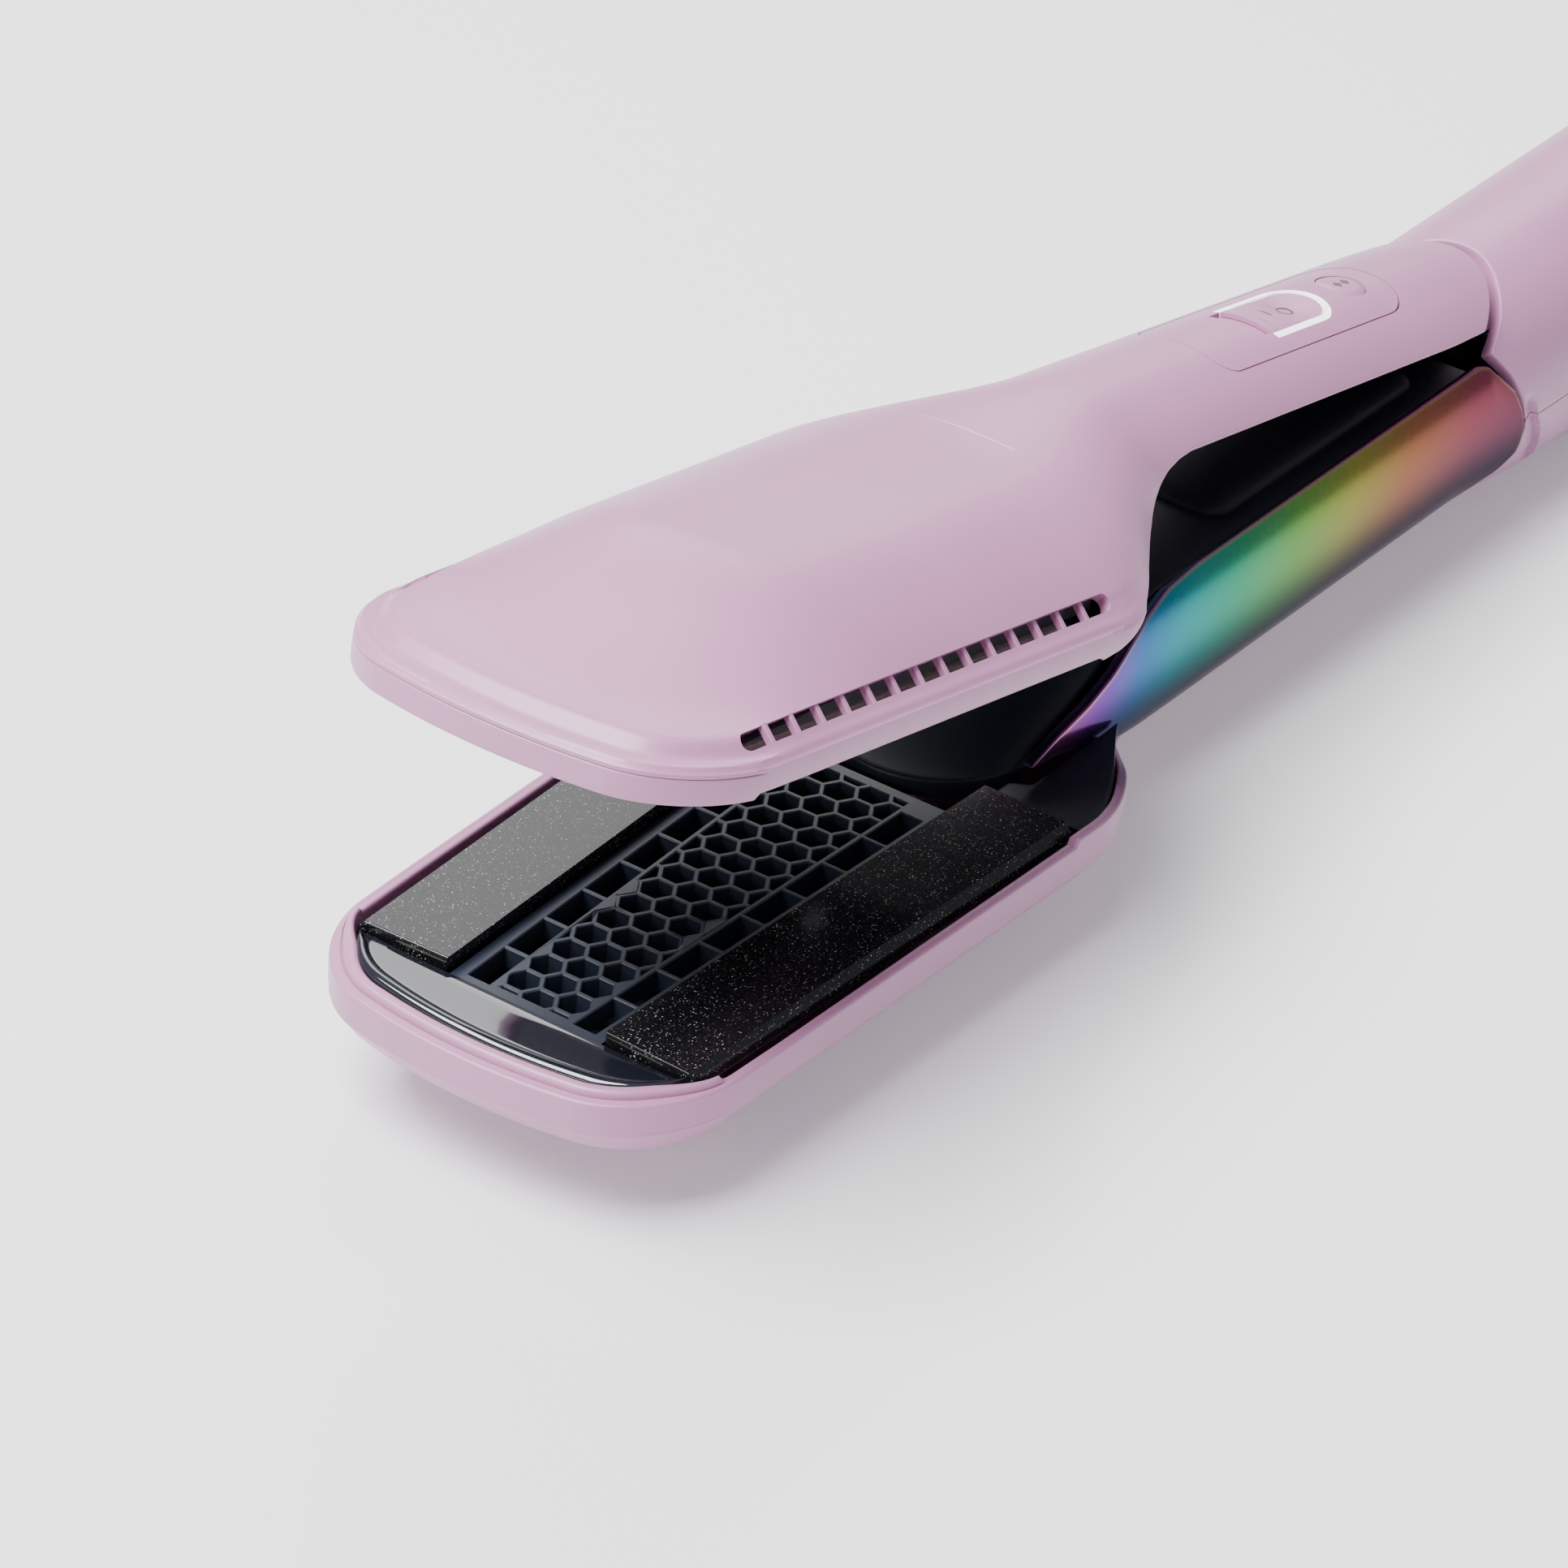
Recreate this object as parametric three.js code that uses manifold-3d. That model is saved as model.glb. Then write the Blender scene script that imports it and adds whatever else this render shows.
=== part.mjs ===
// Wet-to-dry flat iron: two wide paddles with heated plates and an air grille between them, a slim
// neck with shining side panels, and a round fan barrel at the rear. Millimetres, +X to the rear, +Z up.
// Everything is drawn in the closed frame: X = 0 at the front edge of the heated plates, Z = 0 where the
// two arms meet. The upper arm is then opened about its hinge, and the whole is stood on Z = 0.
import * as THREE from 'three';
import { mergeVertices } from 'three/addons/utils/BufferGeometryUtils.js';
import Module from 'manifold-3d';

const wasm = await Module();
wasm.setup();

// ---------- driving dimensions ----------
const TIP_X = -15.2;            // front of the paddles
const FRONT_RADIUS = 82;        // plan radius of the tip
const CORNER_RADIUS = 13;       // plan radius of the tip's corners
const SIDE_AT_0 = 30.3;         // half width of a paddle at X = 0
const SIDE_SPLAY = 0.027;       // the paddles widen to the rear
const REST_Z = -19.7;           // the lower arm and the barrel stand on this plane
const WALL = 1.8;               // shell thickness
const SEAM = 0.2;               // half the gap between two shells
const PLATE_LENGTH = 80;
const PLATE_WIDTH = 13.35;
const PLATE_INNER_Y = 12.55;    // inner edge of a plate at its front
const PLATE_SPLAY = Math.atan(3 / PLATE_LENGTH);
const NECK_START = 82;          // the paddle turns into the neck between these two
const NECK_FULL = 117;
const HINGE = { x: 225, z: 7 };
const OPEN_ANGLE = THREE.MathUtils.degToRad(10.15);
const BARREL_END = 281;         // rear edge of the barrel shells
const END_X = 307;              // rear end of the cord gland
const CENTRE_X = (TIP_X + END_X) / 2;
const HEX_PITCH = 4.684;        // air grille: hexagons in staggered rows
const HEX_RIB = 0.85;
const GRILLE_TOP = -2.06;
const VENT_COUNT = 15;
const VENT_FROM = 1.2;
const VENT_TO = 81.5;

// ---------- small helpers ----------
const smooth = (a, b, x) => {
  const t = Math.min(Math.max((x - a) / (b - a), 0), 1);
  return t * t * (3 - 2 * t);
};
const mix = (a, b, t) => a + (b - a) * t;
const count = (n, make) => Array.from({ length: n }, (_, i) => make(i));

function toSolid(geometry) {
  const plain = geometry.clone();
  plain.deleteAttribute('normal');
  plain.deleteAttribute('uv');
  const merged = mergeVertices(plain, 1e-4);
  return new wasm.Manifold(new wasm.Mesh({
    numProp: 3,
    vertProperties: new Float32Array(merged.attributes.position.array),
    triVerts: new Uint32Array(merged.index.array),
  }));
}

function toGeometry(solid) {
  const mesh = solid.getMesh();
  const geometry = new THREE.BufferGeometry();
  geometry.setAttribute('position', new THREE.BufferAttribute(new Float32Array(mesh.vertProperties), 3));
  geometry.setIndex(new THREE.BufferAttribute(new Uint32Array(mesh.triVerts), 1));
  return geometry;
}

// box between two corners
const block = (x0, x1, y0, y1, z0, z1) =>
  new THREE.BoxGeometry(x1 - x0, y1 - y0, z1 - z0).translate((x0 + x1) / 2, (y0 + y1) / 2, (z0 + z1) / 2);
const blockSolid = (...sides) => toSolid(block(...sides));

// mirror image across the Y = 0 plane
function flipped(geometry) {
  const solid = toSolid(geometry);
  const { vertProperties, triVerts } = solid.getMesh();
  const position = vertProperties.map((value, i) => (i % 3 === 1 ? -value : value));
  const mirrored = new THREE.BufferGeometry();
  mirrored.setAttribute('position', new THREE.BufferAttribute(new Float32Array(position), 3));
  mirrored.setIndex(new THREE.BufferAttribute(new Uint32Array([...triVerts].reverse()), 1));
  return mirrored;
}

// flat outline (x, y) raised from z0 to z1, with optional holes
function slab(outline, z0, z1, holes = []) {
  const shape = new THREE.Shape(outline.map(([x, y]) => new THREE.Vector2(x, y)));
  holes.forEach((hole) => shape.holes.push(new THREE.Path(hole.map(([x, y]) => new THREE.Vector2(x, y)))));
  return new THREE.ExtrudeGeometry(shape, { depth: z1 - z0, bevelEnabled: false }).translate(0, 0, z0);
}

// side outline (x, z) drawn across the whole width, or between y0 and y1
function prism(outline, y0 = -60, y1 = 60) {
  return slab(outline, 0, y1 - y0).rotateX(Math.PI / 2).translate(0, y1, 0);
}
const prismSolid = (...args) => toSolid(prism(...args));

// round bar along X, Y or Z
function rod(radius, length, sides, axis, x, y, z) {
  const bar = new THREE.CylinderGeometry(radius, radius, length, sides);
  if (axis === 'x') bar.rotateZ(Math.PI / 2);
  if (axis === 'z') bar.rotateX(Math.PI / 2);
  return bar.translate(x, y, z);
}

// turned ring or cap about X: closed profile of (x, radius) pairs, inner face first
function turned(profile, sides, z = 0) {
  const points = [...profile, profile[0]].reverse().map(([x, r]) => new THREE.Vector2(r, x));
  return new THREE.LatheGeometry(points, sides).rotateZ(-Math.PI / 2).translate(0, 0, z);
}

// closed skin over equal rings of [x, y, z] points
function loft(rings) {
  const n = rings[0].length;
  const points = rings.flat();
  const index = [];
  for (let i = 0; i + 1 < rings.length; i += 1) {
    for (let j = 0; j < n; j += 1) {
      const a = i * n + j;
      const b = i * n + ((j + 1) % n);
      index.push(a, b, a + n, b, b + n, a + n);
    }
  }
  const cap = (ring, first, flip) => {
    const centre = points.length;
    points.push([ring[0][0], 0, ring.reduce((sum, p) => sum + p[2], 0) / n]);
    for (let j = 0; j < n; j += 1) {
      const a = first + j;
      const b = first + ((j + 1) % n);
      index.push(centre, flip ? a : b, flip ? b : a);
    }
  };
  cap(rings[0], 0, false);
  cap(rings[rings.length - 1], (rings.length - 1) * n, true);
  const geometry = new THREE.BufferGeometry();
  geometry.setAttribute('position', new THREE.BufferAttribute(new Float32Array(points.flat()), 3));
  geometry.setIndex(index);
  return geometry;
}

// ---------- outer form of the closed iron ----------
const sideLine = (x) => SIDE_AT_0 + SIDE_SPLAY * x;

// distance from the plan outline of the paddle, and from its front arc
function edgeDistance(x, y) {
  const front = x < TIP_X + FRONT_RADIUS
    ? FRONT_RADIUS - Math.hypot(x - TIP_X - FRONT_RADIUS, y) : FRONT_RADIUS - Math.abs(y);
  const side = sideLine(x) - Math.abs(y);
  const corner = front < CORNER_RADIUS && side < CORNER_RADIUS;
  const edge = corner
    ? CORNER_RADIUS - Math.hypot(CORNER_RADIUS - front, CORNER_RADIUS - side) : Math.min(front, side);
  return { edge, front };
}

function paddleTop(x, y) {
  const { edge, front } = edgeDistance(x, y);
  const ledge = mix(3, 1, smooth(-6, 10, x));
  const across = Math.min(Math.abs(y) / (sideLine(x) - ledge - 1.8), 1);
  const crown = 10.8 * (1 - across ** 2.6) * smooth(5, 43, front);
  return 4.4 + 0.9 * smooth(0, 0.9, edge) + 2 * smooth(ledge, ledge + 1.8, edge) + crown;
}

function paddleBottom(x, y) {
  const { edge, front } = edgeDistance(x, y);
  const across = Math.min(Math.abs(y) / (sideLine(x) - 2.5), 1);
  const belly = 11 * (1 - across ** 2.4) * smooth(3, 43, front);
  return Math.max(-6 - 0.9 * smooth(0, 1, edge) - 2.5 * smooth(0.5, 3, edge) - belly, REST_Z);
}

// the paddle's half width where the outline has been moved in by `inset`
function paddleHalfWidth(x, inset) {
  let low = 0;
  let high = sideLine(x);
  if (edgeDistance(x, 0).edge <= inset) return 0.2;
  for (let i = 0; i < 30; i += 1) {
    const middle = (low + high) / 2;
    if (edgeDistance(x, middle).edge > inset) low = middle;
    else high = middle;
  }
  return low;
}

const neckRadius = (x) => 18.4 + 0.8 * smooth(200, 232, x) + 0.9 * smooth(232, 258, x);
const neckZ = (x) => 1.9 - 1.6 * smooth(200, 232, x) - 1.3 * smooth(232, 258, x);

// one closed ring at station x, moved in by `inset`; `n` points on each of the four flat quarters
function sectionRing(x, inset, n) {
  const toNeck = smooth(NECK_START, NECK_FULL, x);
  const r = neckRadius(x) - inset;
  const zc = neckZ(x);
  const w = paddleHalfWidth(Math.min(x, 100), inset);
  const half = [];
  const add = (padY, padZ, angle) => {
    const y = mix(padY, r * Math.cos(angle), toNeck);
    const z = Math.max(mix(padZ, zc + r * Math.sin(angle), toNeck), REST_Z + inset);
    half.push([y, z]);
  };
  const low = Math.asin((-6 - zc) / r);
  const high = Math.asin((4.4 - zc) / r);
  for (let j = 0; j < n; j += 1) {
    const y = Math.max(w - 0.6, 0.05) * Math.sin((j / n) * (Math.PI / 2));
    add(y, paddleBottom(x, y) + inset, mix(-Math.PI / 2, low, j / n));
  }
  [[-6, 0], [-3, 0.3], [0, 0], [2.2, 0.35], [4.2, 0.2]].forEach(([z, bulge]) => {
    add(w + bulge, z, Math.asin((z - zc) / r));
  });
  for (let j = n - 1; j >= 0; j -= 1) {
    const y = Math.max(w - 0.3, 0.05) * Math.sin((j / n) * (Math.PI / 2));
    add(y, paddleTop(x, y) - inset, mix(Math.PI / 2, high, j / n));
  }
  const left = half.slice(1, -1).reverse().map(([y, z]) => [-y, z]);
  return [...half, ...left].map(([y, z]) => [x, y, z]);
}

const OUTER_STATIONS = [TIP_X + 0.05, -14.5, -12.8, -10.4, -7.4, -3.6, 1, 7, 15, 25, 38, 56, 72, 82, 87,
  92, 97, 102, 107, 112, 118, 130, 160, 195, 208, 220, 232, 245, 258, BARREL_END];
const frontInset = (x) => WALL + 2 * (1 - smooth(-8, 1, x));
const INNER_STATIONS = [-11.3, -10.2, -8, -4.6, 0, 7, 15, 25, 38, 56, 72, 82, 87,
  92, 97, 102, 107, 112, 118, 130, 160, 195, 208, 220, 232, 245, 258, BARREL_END + 5];
const closedForm = toSolid(loft(OUTER_STATIONS.map((x) => sectionRing(x, 0, 7))));
const hollow = toSolid(loft(INNER_STATIONS.map((x) => sectionRing(x, frontInset(x), 5))));
const hull = closedForm.subtract(hollow);

// round tube that follows the neck, from x0 to x1, `out` outside the neck's own radius
const NECK_STATIONS = [100, 118, 150, 180, 200, 208, 216, 224, 232, 245, 258];
function neckTube(out, x0, x1, sides = 40) {
  const between = NECK_STATIONS.filter((x) => x > x0 + 1 && x < x1 - 1);
  const steps = [x0, ...between, x1];
  return toSolid(loft(steps.map((x) => count(sides, (j) => {
    const angle = (j / sides) * 2 * Math.PI;
    const r = neckRadius(x) + out;
    return [x, r * Math.cos(angle), neckZ(x) + r * Math.sin(angle)];
  }))));
}

// ---------- side outlines (x, z) of the parting lines ----------
const STEP_FRONT = 1.5;         // the rims are lowered beside the plates between these two
const STEP_REAR = 76.5;
const NECK_EDGE_Z = 13.3;       // lower edge of the upper arm along the neck
const PANEL_TOP_Z = 12.5;       // upper edge of the side panels
const PANEL_BOTTOM_Z = -9.2;

const upperEdge = [[-40, SEAM], [STEP_FRONT, SEAM], [STEP_FRONT + 0.8, 1.1], [STEP_REAR, 1.1],
  [STEP_REAR + 1, 0.5], [81, 1.1], [85, 2.8], [90.5, 5.1], [97, 6.7], [106.5, 8.3], [112.6, 10.4],
  [117.5, 12.2], [124.5, NECK_EDGE_Z], [207.3, NECK_EDGE_Z]];
const armOutline = [...upperEdge, [240, 32], [240, 60], [-40, 60]];
const rimEdge = [[-40, -SEAM], [STEP_FRONT, -SEAM], [STEP_FRONT + 0.8, -1.1], [STEP_REAR, -1.1],
  [STEP_REAR + 1, -SEAM], [86, -SEAM], [93, -0.9], [99, -2.6], [105, -5.3], [111, -7.9], [118, -9.3],
  [130, PANEL_BOTTOM_Z - 0.4], [206, PANEL_BOTTOM_Z - 0.4], [213, -8.9], [217.6, -6.6], [218.6, -3],
  [217.2, -SEAM]];
const lowerOutline = [...rimEdge, [400, -SEAM], [400, -60], [-40, -60]];
const barrelOutline = [[209.9, 12.9], [250, 31.4], [250, 60], [400, 60], [400, SEAM], [216.6, SEAM],
  [215.6, 4], [213.2, 8.4], [210.9, 11.2]];
const panelOutline = [[86.8, 1.2], [92, 2.9], [99.5, 4.4], [106, 6.4], [111, 8.6], [116, 10.6], [122, 12],
  [130, PANEL_TOP_Z], [206, PANEL_TOP_Z], [209, 11.3], [212.2, 7.8], [214.6, 3], [216, -1.8], [216.4, -5.6],
  [213, -8], [206, PANEL_BOTTOM_Z], [130, PANEL_BOTTOM_Z], [118, -8.7], [111, -7.2], [105, -4.6],
  [98, -1.9], [91.6, -0.2], [88, 0.1]];

// ---------- materials ----------
const finish = (color, roughness, metalness = 0) => new THREE.MeshStandardMaterial(
  { color, roughness, metalness });
const MATERIAL = {
  pink: finish(0xc9aec3, 0.45),
  iridescent: finish(0x58a98c, 0.22, 0.7),
  slate: finish(0x1f232c, 0.5),
  gloss: finish(0x14171e, 0.12),
  ceramic: finish(0x1c1c1f, 0.25),
  heater: finish(0xd8d2c4, 0.7),
  metal: finish(0xa9adb2, 0.35, 1),
  board: finish(0x1f5a38, 0.6),
  rubber: finish(0x232326, 0.9),
  light: finish(0xffffff, 0.3),
};

const lowerArm = new THREE.Group();
const upperArm = new THREE.Group();
function place(group, name, geometry, material) {
  const mesh = new THREE.Mesh(geometry, material);
  mesh.name = name;
  group.add(mesh);
  return mesh;
}

// ---------- shells ----------
const VENT_LOW_Z = 6.5;
const VENT_HIGH_Z = 8.1;
const VENT_PITCH = (VENT_TO - VENT_FROM) / VENT_COUNT;
const VENT_RIB = 1.3;

function ventCutters(side) {
  return count(VENT_COUNT, (i) => {
    const x0 = VENT_FROM + i * VENT_PITCH + VENT_RIB / 2;
    const y = side * (sideLine(x0) - 3);
    return blockSolid(x0, x0 + VENT_PITCH - VENT_RIB, y - 4, y + 4, VENT_LOW_Z, VENT_HIGH_Z);
  });
}

const PANEL_FRONT = 142.3;      // control panel, rounded rectangle in the top of the neck
const PANEL_REAR = 194.5;
const PANEL_HALF = 8.3;
const PANEL_CORNER = 5;

function roundedOutline(x0, x1, half, radius, grow, steps = 4) {
  const corners = [[x1, half, 0], [x0, half, 1], [x0, -half, 2], [x1, -half, 3]];
  return corners.flatMap(([x, y, quarter]) => count(steps + 1, (i) => {
    const angle = (quarter + i / steps) * (Math.PI / 2);
    const cx = x + (x === x1 ? -radius : radius);
    const cy = y + (y > 0 ? -radius : radius);
    return [cx + (radius + grow) * Math.cos(angle), cy + (radius + grow) * Math.sin(angle)];
  }));
}
const controlCut = toSolid(slab(
  roundedOutline(PANEL_FRONT, PANEL_REAR, PANEL_HALF, PANEL_CORNER, SEAM), 12, 30));

// screw bosses inside both paddles, hollow for the carrier screws
const SCREW_X = 76;
const SCREW_Y = 9;
const bosses = [-SCREW_Y, SCREW_Y].map((y) => toSolid(rod(2.4, 33, 12, 'z', SCREW_X, y, -1))
  .subtract(toSolid(rod(1.2, 26.4, 12, 'z', SCREW_X, y, 0)))
  .subtract(blockSolid(60, 90, -20, 20, -7.8, 7.8)));
const bossed = bosses.reduce((sum, boss) => sum.add(boss), hull).intersect(closedForm);

let upperShell = bossed.intersect(prismSolid(armOutline)).subtract(controlCut);
[-1, 1].flatMap(ventCutters).forEach((cutter) => { upperShell = upperShell.subtract(cutter); });
const lowerShell = bossed.intersect(prismSolid(lowerOutline));
const barrelShell = hull.intersect(prismSolid(barrelOutline));
place(upperArm, 'upper_shell', toGeometry(upperShell), MATERIAL.pink);
place(lowerArm, 'lower_shell', toGeometry(lowerShell), MATERIAL.pink);
place(lowerArm, 'barrel_upper_shell', toGeometry(barrelShell), MATERIAL.pink);

// shining side panels, one on each side of the lower neck
const panelSkin = neckTube(0.25, 84, 222).subtract(neckTube(-1.7, 80, 226));
[['near', -1], ['far', 1]].forEach(([side, sign]) => {
  const cut = prismSolid(panelOutline, sign > 0 ? 6 : -30, sign > 0 ? 30 : -6);
  place(lowerArm, `side_panel_${side}`, toGeometry(panelSkin.intersect(cut)), MATERIAL.iridescent);
});

// ---------- inner cover of the lower neck: round-fronted ramp, two ledges and a low hump ----------
const COVER_FRONT = 76;
const COVER_REAR = 205;
const COVER_ARC = { radius: 15.6, x: 90.8 };    // plan arc of the ramp's front
const LEDGE_Z = 11.9;
const HUMP_TOP_Z = 14.1;
const HUMP_FRONT = 143;
const HUMP_REAR = 196;
const rampRise = (x) => smooth(COVER_FRONT, 122, x);
const humpRise = (x) => smooth(HUMP_FRONT - 1, HUMP_FRONT + 2, x) - smooth(HUMP_REAR - 2, HUMP_REAR + 2, x);
const coverTop = (x) => mix(-0.9, LEDGE_Z + 0.3, rampRise(x)) + (HUMP_TOP_Z - LEDGE_Z - 0.3) * humpRise(x);

function coverRing(x) {
  const front = Math.max(COVER_ARC.x - x, 0);
  const half = Math.min(Math.sqrt(COVER_ARC.radius ** 2 - front ** 2), mix(15.2, 13.6, rampRise(x)));
  const ledge = mix(-1.3, LEDGE_Z, rampRise(x));
  const top = coverTop(x);
  const floor = mix(-3.2, 8.6, smooth(96, 130, x));
  const side = [[half - 0.5, floor], [half, ledge - 0.6], [half * 0.92, ledge + (top - ledge) * 0.15],
    [half * 0.76, ledge + (top - ledge) * 0.3], [half * 0.68, ledge + (top - ledge) * 0.8],
    [half * 0.4, top]];
  const other = [...side].reverse().map(([y, z]) => [-y, z]);
  return [...side, ...other].map(([y, z]) => [x, y, z]);
}
const COVER_STATIONS = [COVER_FRONT, 79, 83, 88, 94, 100, 106, 112, 118, 124, 132, HUMP_FRONT - 1,
  HUMP_FRONT + 2, HUMP_REAR - 2, HUMP_REAR + 2, COVER_REAR];
place(lowerArm, 'neck_inner_cover', toGeometry(toSolid(loft(COVER_STATIONS.map(coverRing)))), MATERIAL.slate);

// ---------- parts that each paddle holds, drawn for the lower one ----------
const plateEdgeY = (x) => PLATE_INNER_Y + Math.tan(PLATE_SPLAY) * x;
const GRILLE_REAR = 73.5;
const GRILLE_DEPTH = 3;

// what is left of a piece inside the shells, `gap` clear of their wall
const inRoom = (geometry, gap) => toGeometry(toSolid(geometry).intersect(
  toSolid(loft(INNER_STATIONS.map((x) => sectionRing(x, frontInset(x) + gap, 5))))));

const tipCover = () => block(-11, -0.9, -40, 40, -2.3, -0.9);

const polygon = (x, y, radius, sides, turn = 0) => count(sides, (i) => {
  const angle = turn + (i / sides) * 2 * Math.PI;
  return [x + radius * Math.cos(angle), y + radius * Math.sin(angle)];
});

function hexHoles() {
  const row = (HEX_PITCH * Math.sqrt(3)) / 2;
  const radius = (HEX_PITCH - HEX_RIB) / Math.sqrt(3);
  return [-1, 0, 1].flatMap((line) => {
    const first = HEX_PITCH * (line === 0 ? 0.55 : 1.05);
    const holes = line === 0 ? 15 : 13;
    return count(holes, (i) => polygon(first + i * HEX_PITCH, line * row, radius, 6, Math.PI / 6));
  });
}

const WINDOW_LENGTH = 7.9;
const WINDOW_STEP = 8.6;
const WINDOW_INSETS = [5.85, 2.45];    // long sides, from the plate's inner edge
function windowHoles() {
  const [inner, outer] = WINDOW_INSETS;
  return [-1, 1].flatMap((side) => count(8, (i) => {
    const x0 = 1.3 + i * WINDOW_STEP;
    const x1 = x0 + WINDOW_LENGTH;
    const corners = [[x0, inner], [x1, inner], [x1, outer], [x0, outer]];
    return corners.map(([x, out]) => [x, side * (plateEdgeY(x) - out)]);
  }));
}

function grille() {
  const edge = (x) => plateEdgeY(x) - 0.5;
  const outline = [[-0.2, -edge(0)], [GRILLE_REAR, -edge(GRILLE_REAR)],
    [GRILLE_REAR, edge(GRILLE_REAR)], [-0.2, edge(0)]];
  return slab(outline, GRILLE_TOP - GRILLE_DEPTH, GRILLE_TOP, [...hexHoles(), ...windowHoles()]);
}

// carrier tray under the heaters, with an air opening under the grille and two screw holes
const TRAY_HALF = 22;
function chassis() {
  const airOpening = blockSolid(3, 70, -9, 9, -9, -4);
  let tray = blockSolid(-4, 79, -TRAY_HALF, TRAY_HALF, -7.4, -6.2).subtract(airOpening);
  [-SCREW_Y, SCREW_Y].forEach((y) => {
    tray = tray.subtract(toSolid(rod(1.1, 6, 12, 'z', SCREW_X, y, -7)));
  });
  return toGeometry(tray);
}
const screw = (y) => toGeometry(
  toSolid(rod(0.8, 4.4, 12, 'z', SCREW_X, y, -7.9)).add(toSolid(rod(1.8, 1, 12, 'z', SCREW_X, y, -5.3))));

// plate and heater lie along X with the inner edge on y = 0, then they are splayed
function plateGeometry() {
  const section = [[0, 0], [PLATE_WIDTH, 0], [PLATE_WIDTH + 1, -1.2], [PLATE_WIDTH + 1, -2.5], [0.3, -2.5],
    [0, -2]];
  const shape = new THREE.Shape(section.map(([y, z]) => new THREE.Vector2(y, z)));
  return new THREE.ExtrudeGeometry(shape, { depth: PLATE_LENGTH, bevelEnabled: false })
    .applyMatrix4(new THREE.Matrix4().makeBasis(
      new THREE.Vector3(0, 1, 0), new THREE.Vector3(0, 0, 1), new THREE.Vector3(1, 0, 0)));
}
const heaterGeometry = () => block(5, PLATE_LENGTH - 5, 2, PLATE_WIDTH - 1.6, -4.1, -2.8);

// the far plate's pieces (drawn at +Y) also serve the near side once they are flipped over
function splayed(geometry, side) {
  const placed = geometry.rotateZ(PLATE_SPLAY).translate(0, PLATE_INNER_Y, 0);
  return side > 0 ? placed : flipped(placed);
}

// black deck behind the lower plates, cut out round the ramp of the inner cover and the side panels
function lowerDeck() {
  const ramp = [[COVER_FRONT - 0.4, -3.55], [96, -3.55], [96, 20], [COVER_FRONT - 0.4, 20]];
  return toSolid(block(PLATE_LENGTH + 0.9, 112, -40, 40, -4.9, -1.7))
    .subtract(prismSolid(ramp, -15.7, 15.7)).subtract(neckTube(0.6, 85, 130));
}

// matching roof in the upper paddle: it arches over the ramp and the panels' front ends
const ROOF_HALF = 34;
const ROOF_THICKNESS = 1.3;
function heightAlong(line, x) {
  const next = line.findIndex(([px]) => px > x);
  const [[x0, z0], [x1, z1]] = [line[next - 1], line[next]];
  return mix(z0, z1, (x - x0) / (x1 - x0));
}
function roofHeight(x, y) {
  const edge = heightAlong(upperEdge, x) + 0.8;
  return mix(edge, Math.max(coverTop(x) + 1, edge), 1 - smooth(19.2, 26, Math.abs(y)));
}
function upperDeck() {
  const across = [0, 12, 19.2, 20.5, 21.8, 23.2, 24.6, 26, ROOF_HALF];
  const side = [...across.slice(1).reverse().map((y) => -y), ...across];
  const rings = [PLATE_LENGTH + 0.9, 86, 91, 96, 101, 106, 111, 116, 120].map((x) => [
    ...side.map((y) => [x, y, roofHeight(x, y)]),
    ...side.map((y) => [x, y, roofHeight(x, y) + ROOF_THICKNESS]).reverse(),
  ]);
  return loft(rings);
}

// ---------- both paddles get the same set; the upper one is turned over about the X axis ----------
[[lowerArm, 'lower'], [upperArm, 'upper']].forEach(([group, arm]) => {
  const turn = (geometry) => (group === upperArm ? geometry.rotateX(Math.PI) : geometry);
  place(group, `${arm}_tip_cover`, inRoom(turn(tipCover()), 0.35), MATERIAL.gloss);
  place(group, `${arm}_grille`, turn(grille()), MATERIAL.slate);
  place(group, `${arm}_chassis`, inRoom(turn(chassis()), 0.5), MATERIAL.slate);
  [['near', -1], ['far', 1]].forEach(([name, side]) => {
    const at = group === upperArm ? -side : side;
    place(group, `${arm}_plate_${name}`, turn(splayed(plateGeometry(), at)), MATERIAL.ceramic);
    place(group, `${arm}_heater_${name}`, turn(splayed(heaterGeometry(), at)), MATERIAL.heater);
    place(group, `${arm}_chassis_screw_${name}`, turn(screw(at * SCREW_Y)), MATERIAL.metal);
  });
});
place(lowerArm, 'lower_deck', inRoom(toGeometry(lowerDeck()), 0.35), MATERIAL.slate);
place(upperArm, 'upper_deck', inRoom(upperDeck(), 0.35), MATERIAL.slate);

// black baffles behind the side vents of the upper paddle
const BAFFLE_SETBACK = 5.9;
[['near', -1], ['far', 1]].forEach(([name, side]) => {
  const baffle = (x, out) => [x, side * (sideLine(x) - BAFFLE_SETBACK + out)];
  const outline = [baffle(3, 0), baffle(80, 0), baffle(80, 1), baffle(3, 1)];
  place(upperArm, `vent_baffle_${name}`, inRoom(slab(side > 0 ? outline : outline.reverse(), 5.3, 9), 0.35),
    MATERIAL.slate);
});

// ---------- hinge ----------
const PIN_RADIUS = 2;
const PIN_HOLE = 2.3;
const KNUCKLE_HALF = 6;
const LINER_Z = 14.7;

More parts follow.
